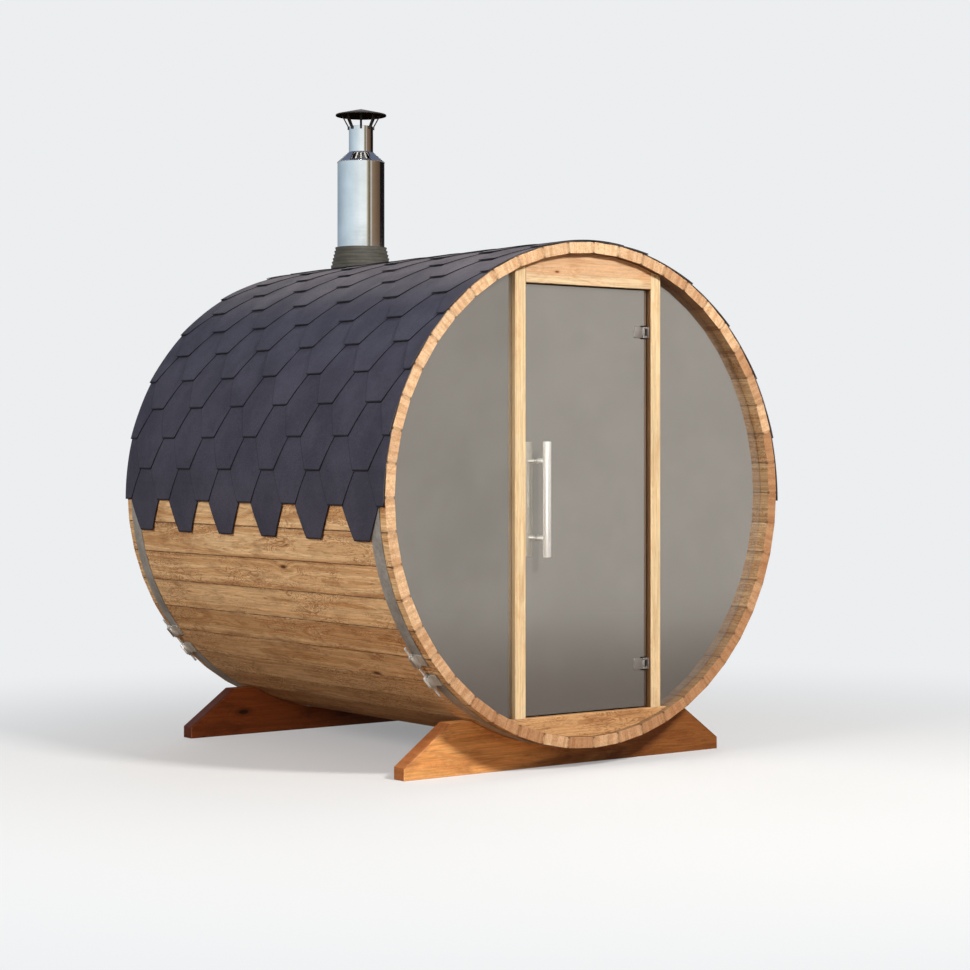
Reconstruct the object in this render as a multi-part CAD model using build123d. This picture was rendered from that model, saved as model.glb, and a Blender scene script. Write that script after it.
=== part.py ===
from build123d import *
import math
import os

# Barrel sauna: a horizontal barrel of staves on two cradles, roofed with tabbed felt,
# closed at the front by glass and a glass door and at the back by a boarded wall.
# Millimetres. X is to the right seen from the door, Y runs back, Z is up.
# The origin is on the ground, in the middle of the front cradle's foot.

# Driving dimensions: the barrel
BARREL_DIAMETER = 2000.0
BARREL_LENGTH = 2000.0
GROUND_CLEARANCE = 80.0
STAVE_COUNT = 48
STAVE_THICKNESS = 44.0
STAVE_CHAMFER = 3.0
STAVE_GAP = 0.4
BEAD_RISE = 5.0
BEAD_WIDTH = 22.0
CROZE_DEPTH = 10.0
SEAT = 0.2

# Driving dimensions: the front
FRAME_SETBACK = 25.0
FRAME_DEPTH = 68.0
POST_WIDTH = 52.0
DOORWAY_WIDTH = 642.0
HEADER_DEPTH = 124.9
SILL_DEPTH = 89.9
FRAME_CHAMFER = 2.5
STOP_LIP = 12.0
STOP_CLEARANCE = 5.5
GLASS_SETBACK = 48.0
GLASS_THICKNESS = 8.0
GLASS_FIT = 0.5
POST_GROOVE = 8.0
LEAF_GAP = 6.0

# Driving dimensions: the hinges and the pull handle
HINGE_BELOW_HEADER = 175.0
HINGE_ABOVE_SILL = 178.0
HINGE_HEIGHT = 45.0
PIVOT_INSET = 18.0
PIN_DIAMETER = 8.0
PIN_CLEARANCE = 0.05
KNUCKLE_DIAMETER = 16.0
EAR_THICKNESS = 8.0
EAR_CLEARANCE = 1.0
JAMB_PLATE = 4.0
CHEEK_THICKNESS = 5.0
CHEEK_WIDTH = 40.0
CHEEK_START = 13.0
CHEEK_ROUND = 4.0
NOTCH_CLEARANCE = 5.0
LEAF_ROUND = 5.0
HANDLE_INSET = 69.5
HANDLE_ABOVE_SILL = 849.0
HANDLE_LENGTH = 450.0
HANDLE_SPACING = 300.0
HANDLE_DIAMETER = 32.0
HANDLE_CHAMFER = 1.5
HANDLE_REACH = 63.5
STANDOFF_DIAMETER = 20.0
BOLT_DIAMETER = 12.0

# Driving dimensions: rear wall and floor
REAR_INSET = 40.0
REAR_THICKNESS = 44.0
REAR_BOARD = 138.0
REAR_CHAMFER = 4.0
FLOOR_DROP = 10.0
FLOOR_BOARD_WIDTH = 92.0
FLOOR_BOARD_THICKNESS = 28.0
FLOOR_BOARD_GAP = 10.0
BEARER_COUNT = 4
BEARER_THICKNESS = 44.0
FLOOR_END_GAP = 0.5

# Driving dimensions: cradles
CRADLE_INSET = 155.0
CRADLE_THICKNESS = 70.0
CRADLE_HALF_WIDTH = 807.0
CRADLE_END_HEIGHT = 49.0
CRADLE_SHOULDER_X = 595.0
CRADLE_SHOULDER_HEIGHT = 204.0
CRADLE_CHAMFER = 4.0

# Driving dimensions: hoops and their tensioners
HOOP_WIDTH = 66.0
HOOP_INSET = 38.0
HOOP_THICKNESS = 1.2
TENSION_ANGLE = -130.8
HOOP_BREAK = 45.0
LUG_LENGTH = 52.0
LUG_GAP = 52.0
LUG_WIDTH = 60.0
LUG_PLATE = 3.0
LUG_ROUND = 8.0
LUG_HOLE = 8.0
CHANNEL_WIDTH = 24.0
CHANNEL_HEIGHT = 24.0
CHANNEL_WALL = 3.5
CHANNEL_END = 8.0
ROD_DIAMETER = 10.0
ROD_LENGTH = 250.0
ROD_HEIGHT = 12.5
NUT_WIDTH = 17.0
NUT_HEIGHT = 8.0

# Driving dimensions: roof felt
FELT_START_ANGLE = 99.5
COURSE_ANGLE = 7.55
COURSE_COUNT = 12
FELT_THICKNESS = 3.2
TAB_PITCH = 334.5
TAB_TIP_WIDTH = 103.0
TAB_CUT_WIDTH = 90.5
TAB_FIRST = 160.0
TAB_EDGE = 4.0
TAB_TOP_EDGE = 0.8
RIDGE_COUNT = 8

# Driving dimensions: flue
FLUE_FROM_REAR = 350.0
FLUE_OUTER_DIAMETER = 213.0
FLUE_INNER_DIAMETER = 110.0
FLUE_SHEET = 1.5
FLUE_HANG = 54.0
FLUE_OUTER_RISE = 485.0
FLUE_CONE_HEIGHT = 46.0
FLUE_COLLAR = 8.0
FLUE_LINER_RISE = 116.0
FLUE_TURN = 56.2
FLUE_FIT = 0.2
FLUE_HOLE_CLEARANCE = 8.0
VENT_GROUPS = 4
VENTS_IN_GROUP = 4
VENT_ANGLE = 9.5
VENT_SPACING = 13.5
VENT_MARGIN = 6.0
CAP_GAP = 54.0
CAP_CROWN = 27.0
CAP_DIAMETER = 230.0
CAP_LIP = 5.0
CAP_SHEET = 2.0
STRUT_COUNT = 8
STRUT_WIDTH = 10.0
STRUT_THICKNESS = 2.5
STRUT_TOP_DIAMETER = 184.0
STRUT_FOOT = 14.0
BOOT_HEIGHT = 98.0
BOOT_TOP_DIAMETER = 225.5
BOOT_BOTTOM_DIAMETER = 270.0
BOOT_STEPS = 7
BOOT_WALL = 4.0

# Places worked out from the driving dimensions
RADIUS = BARREL_DIAMETER / 2
FRONT = -(CRADLE_INSET + CRADLE_THICKNESS / 2)
REAR = FRONT + BARREL_LENGTH
AXIS_HEIGHT = RADIUS + GROUND_CLEARANCE
PITCH = 360.0 / STAVE_COUNT
HALF_PITCH = math.radians(PITCH / 2)
OUTER_FLAT = RADIUS * math.cos(HALF_PITCH)
INNER_FLAT = OUTER_FLAT - STAVE_THICKNESS
CROZE_RADIUS = INNER_FLAT / math.cos(HALF_PITCH) + CROZE_DEPTH
PANEL_RADIUS = CROZE_RADIUS - 4 * SEAT
STAVE_REACH = math.hypot(OUTER_FLAT, OUTER_FLAT * math.tan(HALF_PITCH) - STAVE_CHAMFER)
HOOP_RADIUS = STAVE_REACH + SEAT
HOOP_OUTER = HOOP_RADIUS + HOOP_THICKNESS
FRAME_FRONT = FRONT + FRAME_SETBACK
FRAME_BACK = FRAME_FRONT + FRAME_DEPTH
GLASS_FRONT = FRONT + GLASS_SETBACK
GLASS_BACK = GLASS_FRONT + GLASS_THICKNESS
GLASS_MIDDLE = (GLASS_FRONT + GLASS_BACK) / 2
SILL_TOP = SILL_DEPTH - INNER_FLAT
HEADER_UNDERSIDE = INNER_FLAT - HEADER_DEPTH
HINGE_HEIGHTS = (HEADER_UNDERSIDE - HINGE_BELOW_HEADER, SILL_TOP + HINGE_ABOVE_SILL)
DOOR_HALF = DOORWAY_WIDTH / 2
LEAF_HALF = DOOR_HALF - LEAF_GAP
HANDLE_X = HANDLE_INSET - LEAF_HALF
HANDLE_MIDDLE = SILL_TOP + HANDLE_ABOVE_SILL
POST_OUTER = DOOR_HALF + POST_WIDTH
REAR_WALL_BACK = REAR - REAR_INSET
REAR_WALL_FRONT = REAR_WALL_BACK - REAR_THICKNESS
PIVOT_X = DOOR_HALF - PIVOT_INSET
HALF_COURSE = math.radians(COURSE_ANGLE / 2)
FELT_FLAT = HOOP_OUTER + SEAT
FELT_TOP = FELT_FLAT + FELT_THICKNESS
RIDGE_HALF_ANGLE = FELT_START_ANGLE - COURSE_COUNT * COURSE_ANGLE
FLUE_Y = REAR - FLUE_FROM_REAR
FLUE_BOTTOM = INNER_FLAT - FLUE_HANG
FLUE_SHOULDER = RADIUS + FLUE_OUTER_RISE
FLUE_CONE_TOP = FLUE_SHOULDER + FLUE_CONE_HEIGHT
FLUE_INNER_TOP = FLUE_CONE_TOP + FLUE_LINER_RISE
CAP_RIM = FLUE_INNER_TOP + CAP_GAP
CAP_APEX = CAP_RIM + CAP_CROWN
BOOT_TOP = RADIUS + BOOT_HEIGHT
FLOOR_TOP = SILL_TOP - FLOOR_DROP
FLOOR_UNDERSIDE = FLOOR_TOP - FLOOR_BOARD_THICKNESS


# Helpers: all section outlines are drawn about the barrel's axis and lifted at the end
def polar(radius, degrees):
    """Point of a cross section, at an angle from the top that grows to the right."""
    angle = math.radians(degrees)
    return (radius * math.sin(angle), radius * math.cos(angle))


def outline(*points):
    return make_face(Polyline(*points, close=True))


def along_barrel(section, start, end):
    """Cross section drawn in X and Z, run from start to end along Y."""
    return extrude(Plane.XZ.offset(-start) * section, start - end)


def window(left, right, low, high):
    return Pos((left + right) / 2, (low + high) / 2) * Rectangle(right - left, high - low)


def bore(diameter, x, z, start, end):
    return along_barrel(Pos(x, z) * Circle(diameter / 2), start, end)


def turned(degrees):
    """Turn about the barrel's axis, towards the right for a positive angle."""
    return Rot(0, degrees, 0)


def upright(profile):
    """Profile of radius and height, turned about the flue's own axis."""
    return Pos(0, FLUE_Y, 0) * revolve(Plane.XZ * profile, Axis.Z)


def about_flue(degrees):
    """Turn about the flue's own axis."""
    return Pos(0, FLUE_Y, 0) * Rot(0, 0, degrees) * Pos(0, -FLUE_Y, 0)


def block(left, right, front, back, low, high):
    size = Box(right - left, back - front, high - low)
    return Pos((left + right) / 2, (front + back) / 2, (low + high) / 2) * size


def save(name, *solids):
    """Write one node, lifted from the barrel's axis to the ground."""
    lift = Pos(0, 0, AXIS_HEIGHT)
    pieces = [lift * solid for shape in solids for solid in shape.solids()]
    node = pieces[0] if len(pieces) == 1 else Compound(children=pieces)
    export_step(node, f"parts/{name}.step")


def room(clearance):
    """Inner outline of the barrel: one flat side for each stave."""
    corner = (INNER_FLAT - clearance) / math.cos(HALF_PITCH)
    return outline(*[polar(corner, k * PITCH) for k in range(STAVE_COUNT)])


# Staves: one milled board with a bead on one edge and a matching cove on the other
def stave_section():
    half_gap = STAVE_GAP / 2
    slope = math.tan(HALF_PITCH)
    side = OUTER_FLAT * slope - half_gap
    foot = INNER_FLAT * slope - half_gap
    lean = (side - foot) / STAVE_THICKNESS
    middle = INNER_FLAT + STAVE_THICKNESS / 2
    low, high = middle - BEAD_WIDTH / 2, middle + BEAD_WIDTH / 2

    def edge(height):
        return foot + (height - INNER_FLAT) * lean

    shoulder = OUTER_FLAT - STAVE_CHAMFER
    right = [
        (edge(shoulder), shoulder),
        (edge(high), high),
        (edge(middle) + BEAD_RISE, middle),
        (edge(low), low),
        (foot, INNER_FLAT),
    ]
    left = [
        (-foot, INNER_FLAT),
        (-edge(low), low),
        (-edge(middle) + BEAD_RISE, middle),
        (-edge(high), high),
        (-edge(shoulder), shoulder),
    ]
    top_left = (-side + STAVE_CHAMFER, OUTER_FLAT)
    top_right = (side - STAVE_CHAMFER, OUTER_FLAT)
    lines = [
        Line(top_left, top_right),
        Line(top_right, right[0]),
        Line(right[0], right[1]),
        ThreePointArc(*right[1:4]),
        Line(right[3], right[4]),
        Line(right[4], left[0]),
        Line(left[0], left[1]),
        ThreePointArc(*left[1:4]),
        Line(left[3], left[4]),
        Line(left[4], top_left),
    ]
    return make_face(lines)


def build_staves():
    croze = Circle(CROZE_RADIUS)
    glass_groove = along_barrel(croze, GLASS_FRONT - GLASS_FIT, GLASS_BACK + GLASS_FIT)
    wall_groove = along_barrel(croze, REAR_WALL_FRONT - SEAT, REAR_WALL_BACK + SEAT)
    stave = along_barrel(stave_section(), FRONT, REAR) - glass_groove - wall_groove
    hole = Cylinder(FLUE_OUTER_DIAMETER / 2 + FLUE_HOLE_CLEARANCE, RADIUS)
    hole = Pos(0, FLUE_Y, RADIUS) * hole
    reach = math.degrees(math.asin((FLUE_OUTER_DIAMETER / 2 + FLUE_HOLE_CLEARANCE) / INNER_FLAT))
    hours = {}
    for k in range(STAVE_COUNT):
        angle = (k + 0.5) * PITCH
        piece = turned(angle) * stave
        if min(angle, 360 - angle) - PITCH / 2 < reach:
            piece = piece - hole
        hour = round(angle / 30) % 12 or 12
        hours.setdefault(hour, []).append(piece)
    for hour, pieces in hours.items():
        save(f"staves_{hour:02d}_oclock", *pieces)


# Front: sill, posts and header fill the barrel's outline around the doorway
def eased(piece, direction):
    """Take the sharpness off the front edges that run one way."""
    return chamfer(piece.edges().filter_by(direction).group_by(Axis.Y)[0], FRAME_CHAMFER)


def pane_groove(left, right, low, high):
    return block(left, right, GLASS_FRONT - GLASS_FIT, GLASS_BACK + GLASS_FIT, low, high)


def build_front():
    filling = room(SEAT)
    sill = filling & window(-RADIUS, RADIUS, -RADIUS, SILL_TOP)
    sill = eased(along_barrel(sill, FRAME_FRONT, FRAME_BACK), Axis.X)
    header = filling & window(-DOOR_HALF, DOOR_HALF, HEADER_UNDERSIDE, RADIUS)
    save("door_header", along_barrel(header, FRAME_FRONT, FRAME_BACK))
    for name, side in (("left", -1), ("right", 1)):
        inner, outer = sorted((side * DOOR_HALF, side * POST_OUTER))
        post = filling & window(inner, outer, SILL_TOP, RADIUS)
        post = eased(along_barrel(post, FRAME_FRONT, FRAME_BACK), Axis.Z)
        groove_at = side * POST_OUTER
        post -= pane_groove(groove_at - POST_GROOVE, groove_at + POST_GROOVE, -RADIUS, RADIUS)
        low, high = sorted((side * (POST_OUTER - POST_GROOVE), side * RADIUS))
        sill -= pane_groove(low, high, SILL_TOP - POST_GROOVE, SILL_TOP)
        if side < 0:
            post += block(-DOOR_HALF, STOP_LIP - DOOR_HALF, GLASS_BACK + STOP_CLEARANCE, FRAME_BACK,
                          SILL_TOP, HEADER_UNDERSIDE)
        save(f"door_post_{name}", post)
        low, high = sorted((side * (POST_OUTER - POST_GROOVE + 2 * SEAT), side * RADIUS))
        pane = Circle(PANEL_RADIUS) & window(low, high, SILL_TOP - POST_GROOVE + SEAT, RADIUS)
        save(f"glass_{name}", along_barrel(pane, GLASS_FRONT, GLASS_BACK))
    save("door_sill", sill)


# Door: one sheet of toughened glass, notched at the hinges and drilled for the handle
def build_door():
    leaf = window(-LEAF_HALF, LEAF_HALF, SILL_TOP + LEAF_GAP, HEADER_UNDERSIDE - LEAF_GAP)
    notch_start = PIVOT_X - CHEEK_START - KNUCKLE_DIAMETER / 2 - SEAT
    for middle in HINGE_HEIGHTS:
        reach = HINGE_HEIGHT / 2 + NOTCH_CLEARANCE
        leaf -= window(notch_start, DOOR_HALF, middle - reach, middle + reach)
    leaf = fillet(leaf.vertices(), LEAF_ROUND)
    for step in (-0.5, 0.5):
        height = HANDLE_MIDDLE + step * HANDLE_SPACING
        leaf -= Pos(HANDLE_X, height) * Circle(BOLT_DIAMETER / 2 + SEAT)
    save("door_glass", along_barrel(leaf, GLASS_FRONT, GLASS_BACK))


def build_hinges():
    knuckle = Circle(KNUCKLE_DIAMETER / 2)
    for name, middle in zip(("upper", "lower"), HINGE_HEIGHTS):
        low, high = middle - HINGE_HEIGHT / 2, middle + HINGE_HEIGHT / 2
        place = Pos(PIVOT_X, GLASS_MIDDLE, low)
        plate = block(DOOR_HALF - JAMB_PLATE, DOOR_HALF, GLASS_MIDDLE - KNUCKLE_DIAMETER,
                      GLASS_MIDDLE + KNUCKLE_DIAMETER, low, high)
        half = KNUCKLE_DIAMETER / 2
        ear = extrude(knuckle, EAR_THICKNESS)
        ear += Pos(PIVOT_INSET / 2, 0, EAR_THICKNESS / 2) * Box(PIVOT_INSET, 2 * half, EAR_THICKNESS)
        for foot in (0, HINGE_HEIGHT - EAR_THICKNESS):
            plate += place * Pos(0, 0, foot) * ear
        pin = extrude(Circle(PIN_DIAMETER / 2), HINGE_HEIGHT)
        plate += place * pin
        save(f"hinge_plate_{name}", plate)
        barrel_height = HINGE_HEIGHT - 2 * (EAR_THICKNESS + EAR_CLEARANCE)
        foot = EAR_THICKNESS + EAR_CLEARANCE
        barrel = Pos(0, 0, foot) * extrude(knuckle, barrel_height)
        arm = Pos(-CHEEK_START / 2 - 1, 0, HINGE_HEIGHT / 2)
        barrel += arm * Box(CHEEK_START + 2, GLASS_THICKNESS, barrel_height)
        barrel -= extrude(Circle(PIN_DIAMETER / 2 + PIN_CLEARANCE), HINGE_HEIGHT)
        clamp = place * barrel
        cheek_end = PIVOT_X - CHEEK_START
        cheek = Pos(cheek_end - CHEEK_WIDTH / 2, middle) * RectangleRounded(CHEEK_WIDTH, HINGE_HEIGHT, CHEEK_ROUND)
        for front in (GLASS_FRONT - CHEEK_THICKNESS, GLASS_BACK):
            clamp += along_barrel(cheek, front, front + CHEEK_THICKNESS)
        clamp += block(cheek_end - KNUCKLE_DIAMETER / 2, cheek_end, GLASS_FRONT, GLASS_BACK,
                       low + CHEEK_ROUND, high - CHEEK_ROUND)
        save(f"hinge_clamp_{name}", clamp)


def build_handles():
    low = HANDLE_MIDDLE - HANDLE_LENGTH / 2
    for name, side in (("outer", -1), ("inner", 1)):
        axis = GLASS_MIDDLE + side * HANDLE_REACH
        face = GLASS_MIDDLE + side * GLASS_THICKNESS / 2
        bar = extrude(Circle(HANDLE_DIAMETER / 2), HANDLE_LENGTH)
        bar = chamfer(bar.edges().filter_by(GeomType.CIRCLE), HANDLE_CHAMFER)
        handle = Pos(HANDLE_X, axis, low) * bar
        for step in (-0.5, 0.5):
            height = HANDLE_MIDDLE + step * HANDLE_SPACING
            start, end = sorted((axis, face))
            handle += bore(STANDOFF_DIAMETER, HANDLE_X, height, start, end)
            if side < 0:
                handle += bore(BOLT_DIAMETER, HANDLE_X, height, axis, GLASS_BACK + BOLT_DIAMETER)
            else:
                handle -= bore(BOLT_DIAMETER + 2 * SEAT, HANDLE_X, height, face - 1,
                               face + BOLT_DIAMETER + SEAT)
        save(f"handle_{name}", handle)


# Rear wall: upright boards with chamfered joints, let into the staves' groove
def build_rear_wall():
    count = round(2 * PANEL_RADIUS / REAR_BOARD)
    width = 2 * PANEL_RADIUS / count
    half, chamfered = width / 2 - STAVE_GAP / 2, width / 2 - REAR_CHAMFER
    front, back = REAR_WALL_FRONT, REAR_WALL_BACK
    plan = outline((-chamfered, front), (chamfered, front), (half, front + REAR_CHAMFER),
                   (half, back - REAR_CHAMFER), (chamfered, back), (-chamfered, back),
                   (-half, back - REAR_CHAMFER), (-half, front + REAR_CHAMFER))
    disc = along_barrel(Circle(PANEL_RADIUS), front, back)
    board = extrude(plan, RADIUS, both=True)
    save("rear_wall_boards", *[disc & Pos((k - (count - 1) / 2) * width, 0, 0) * board for k in range(count)])


# Floor: boards on shaped bearers that stand on the lowest staves
def build_floor():
    start, end = FRAME_BACK + FLOOR_END_GAP, REAR_WALL_FRONT - FLOOR_END_GAP
    half_chord = math.sqrt(INNER_FLAT ** 2 - FLOOR_UNDERSIDE ** 2)
    step = FLOOR_BOARD_WIDTH + FLOOR_BOARD_GAP
    count = int((2 * half_chord + FLOOR_BOARD_GAP) / step)
    first = -(count - 1) * step / 2
    boards = []
    for k in range(count):
        middle = first + k * step
        boards.append(block(middle - FLOOR_BOARD_WIDTH / 2, middle + FLOOR_BOARD_WIDTH / 2,
                            start, end, FLOOR_UNDERSIDE, FLOOR_TOP))
    save("floor_boards", *boards)
    half = (count * step - FLOOR_BOARD_GAP) / 2 - FLOOR_BOARD_GAP
    section = room(SEAT) & window(-half, half, -RADIUS, FLOOR_UNDERSIDE)
    bearers = []
    for k in range(BEARER_COUNT):
        middle = start + (end - start) * (k + 0.5) / BEARER_COUNT
        bearers.append(along_barrel(section, middle - BEARER_THICKNESS / 2, middle + BEARER_THICKNESS / 2))
    save("floor_bearers", *bearers)


# Cradles: one plank each, hollowed to the barrel's round
def build_cradles():
    ground = -AXIS_HEIGHT
    half = [
        (CRADLE_HALF_WIDTH, ground),
        (CRADLE_HALF_WIDTH, ground + CRADLE_END_HEIGHT),
        (CRADLE_SHOULDER_X, ground + CRADLE_SHOULDER_HEIGHT),
    ]
    other = [(-x, z) for x, z in reversed(half)]
    section = outline(*half, *other) - Circle(HOOP_RADIUS)
    for name, start in (("front", FRONT + CRADLE_INSET), ("rear", REAR - CRADLE_INSET - CRADLE_THICKNESS)):
        plank = along_barrel(section, start, start + CRADLE_THICKNESS)
        slopes = plank.edges().filter_by(GeomType.LINE).filter_by(Axis.Y, reverse=True)
        slopes = [edge for edge in slopes if abs(edge.center().X) > CRADLE_SHOULDER_X]
        save(f"cradle_{name}", chamfer(slopes, CRADLE_CHAMFER))


# Hoops: flat steel bands, drawn together by a threaded rod between two lugs
def build_hoops():
    half_break = math.degrees(HOOP_BREAK / 2 / HOOP_RADIUS)
    wedge = outline((0, 0), polar(2 * RADIUS, TENSION_ANGLE - half_break),
                    polar(2 * RADIUS, TENSION_ANGLE + half_break))
    band = Circle(HOOP_OUTER) - Circle(HOOP_RADIUS) - wedge
    lugs, rods = [], []
    for name, start in (("front", FRONT + HOOP_INSET), ("rear", REAR - HOOP_INSET - HOOP_WIDTH)):
        save(f"hoop_{name}", along_barrel(band, start, start + HOOP_WIDTH))
        seat = along_barrel(Circle(HOOP_OUTER + SEAT / 2), start - HOOP_WIDTH, start + 2 * HOOP_WIDTH)
        middle = start + HOOP_WIDTH / 2
        channel_middle = middle + LUG_WIDTH / 2 - CHANNEL_WIDTH / 2
        axis_height = HOOP_OUTER + ROD_HEIGHT
        rod_axis = Pos(0, channel_middle, axis_height) * Rot(0, 90, 0)
        rod = rod_axis * extrude(Circle(ROD_DIAMETER / 2), ROD_LENGTH / 2, both=True)
        outer_end = LUG_GAP / 2 + LUG_LENGTH
        nut = extrude(RegularPolygon(NUT_WIDTH / 2, 6, major_radius=False), NUT_HEIGHT)
        for side in (-1, 1):
            low, high = sorted((side * LUG_GAP / 2, side * outer_end))
            plate = Pos((low + high) / 2, middle) * RectangleRounded(LUG_LENGTH, LUG_WIDTH, LUG_ROUND)
            hole_y = middle - LUG_WIDTH / 2 + LUG_ROUND + LUG_HOLE / 2
            plate -= Pos(side * (LUG_GAP / 2 + LUG_ROUND + LUG_HOLE / 2), hole_y) * Circle(LUG_HOLE / 2)
            lug = Pos(0, 0, HOOP_OUTER - CHANNEL_HEIGHT) * extrude(plate, CHANNEL_HEIGHT + LUG_PLATE)
            edge = channel_middle + CHANNEL_WIDTH / 2
            lug += block(low, high, edge - CHANNEL_WIDTH, edge, HOOP_OUTER, HOOP_OUTER + CHANNEL_HEIGHT)
            ends = sorted((side * LUG_GAP / 2, side * (outer_end - CHANNEL_END)))
            lug -= block(*ends, edge - CHANNEL_WIDTH + CHANNEL_WALL, edge - CHANNEL_WALL,
                         HOOP_OUTER + LUG_PLATE, HOOP_OUTER + CHANNEL_HEIGHT)
            lug -= rod_axis * extrude(Circle(ROD_DIAMETER / 2 + SEAT), ROD_LENGTH, both=True)
            lugs.append(turned(TENSION_ANGLE) * (lug - seat))
            nut_at = outer_end if side > 0 else -outer_end - NUT_HEIGHT
            rod += rod_axis * Pos(0, 0, nut_at) * nut
        rods.append(turned(TENSION_ANGLE) * rod)
    save("hoop_lugs", *lugs)
    save("tension_rods", *rods)


# Roof felt: courses of tabbed strips, one flat facet for each course
def tab_row(shift, underside, reach):
    """Row of tabs on a facet at the top of the barrel, thick at the tip, thin where tucked in."""
    half = FELT_TOP * math.tan(HALF_COURSE)
    tip = (-half, TAB_TIP_WIDTH, TAB_EDGE)
    root = (half + reach, TAB_PITCH - TAB_CUT_WIDTH, TAB_TOP_EDGE)
    tabs = []
    for k in range(-1, math.ceil(BARREL_LENGTH / TAB_PITCH) + 2):
        middle = FRONT + TAB_FIRST + (k + shift) * TAB_PITCH
        if middle + TAB_PITCH / 2 < FRONT or middle - TAB_PITCH / 2 > REAR:
            continue
        ends = []
        for across, width, edge in (tip, root):
            height = FELT_TOP + edge - underside
            plane = Plane((across, middle, underside + height / 2), x_dir=(0, 1, 0), z_dir=(1, 0, 0))
            ends.append(plane * Rectangle(width, height))
        tab = loft(ends, ruled=True)
        if middle - TAB_PITCH / 2 < FRONT or middle + TAB_PITCH / 2 > REAR:
            tab = tab & block(-RADIUS, RADIUS, FRONT, REAR, 0, 2 * RADIUS)
        tabs += list(tab.solids())
    return tabs


def felt_skin(first, last):
    """Bent sheet over a run of courses, on the left side of the barrel."""
    inner, outer = FELT_FLAT / math.cos(HALF_COURSE), FELT_TOP / math.cos(HALF_COURSE)
    angles = [FELT_START_ANGLE - k * COURSE_ANGLE for k in range(first, last + 1)]
    points = [polar(inner, -angle) for angle in angles] + [polar(outer, -angle) for angle in reversed(angles)]
    return along_barrel(outline(*points), FRONT, REAR)


def build_felt():
    lapped = [tab_row(shift, FELT_TOP - SEAT, -TAB_TOP_EDGE) for shift in (0, 0.5)]
    hanging = tab_row(0, FELT_FLAT, TAB_TOP_EDGE)
    half_way = COURSE_COUNT // 2
    for level, first, last in (("lower", 0, half_way), ("upper", half_way, COURSE_COUNT)):
        sheet = felt_skin(max(first, 1), last)
        tabs = []
        for k in range(first, last):
            angle = FELT_START_ANGLE - (k + 0.5) * COURSE_ANGLE
            row = hanging if k == 0 else lapped[k % 2]
            tabs += [turned(-angle) * tab for tab in row]
        sheet = sheet.fuse(*tabs)
        save(f"felt_left_{level}", sheet)
        save(f"felt_right_{level}", mirror(sheet, Plane.YZ))


# Ridge: bent pieces lapped along the barrel's top, over the last course of each side
def ridge_outline(low, high):
    corner = 1 / math.cos(math.radians(RIDGE_HALF_ANGLE / 2))
    angles = (-RIDGE_HALF_ANGLE, 0, RIDGE_HALF_ANGLE)
    under = [polar(low * corner, angle) for angle in angles]
    return outline(*under, *[polar(high * corner, angle) for angle in reversed(angles)])


def saddle(reach):
    """Wedge of the barrel under the flue: the ridge, and the course on each side of it."""
    corner = reach / math.cos(math.radians(RIDGE_HALF_ANGLE / 2))
    beyond = RIDGE_HALF_ANGLE + COURSE_ANGLE
    angles = (-beyond, -RIDGE_HALF_ANGLE, 0, RIDGE_HALF_ANGLE, beyond)
    return outline((0, 0), *[polar(corner, angle) for angle in angles])


def build_ridge():
    ridge = along_barrel(ridge_outline(FELT_FLAT, FELT_TOP), FRONT, REAR)
    length = BARREL_LENGTH / RIDGE_COUNT
    under = FELT_TOP - SEAT
    for k in range(RIDGE_COUNT):
        start = FRONT + k * length
        ends = [Plane.XZ.offset(-start) * ridge_outline(under, FELT_TOP + TAB_EDGE),
                Plane.XZ.offset(-start - length) * ridge_outline(under, FELT_TOP + TAB_TOP_EDGE)]
        ridge += loft(ends, ruled=True)
    hole = Cylinder(FLUE_OUTER_DIAMETER / 2 + FLUE_HOLE_CLEARANCE, RADIUS)
    save("felt_ridge", ridge - Pos(0, FLUE_Y, RADIUS) * hole)


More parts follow.
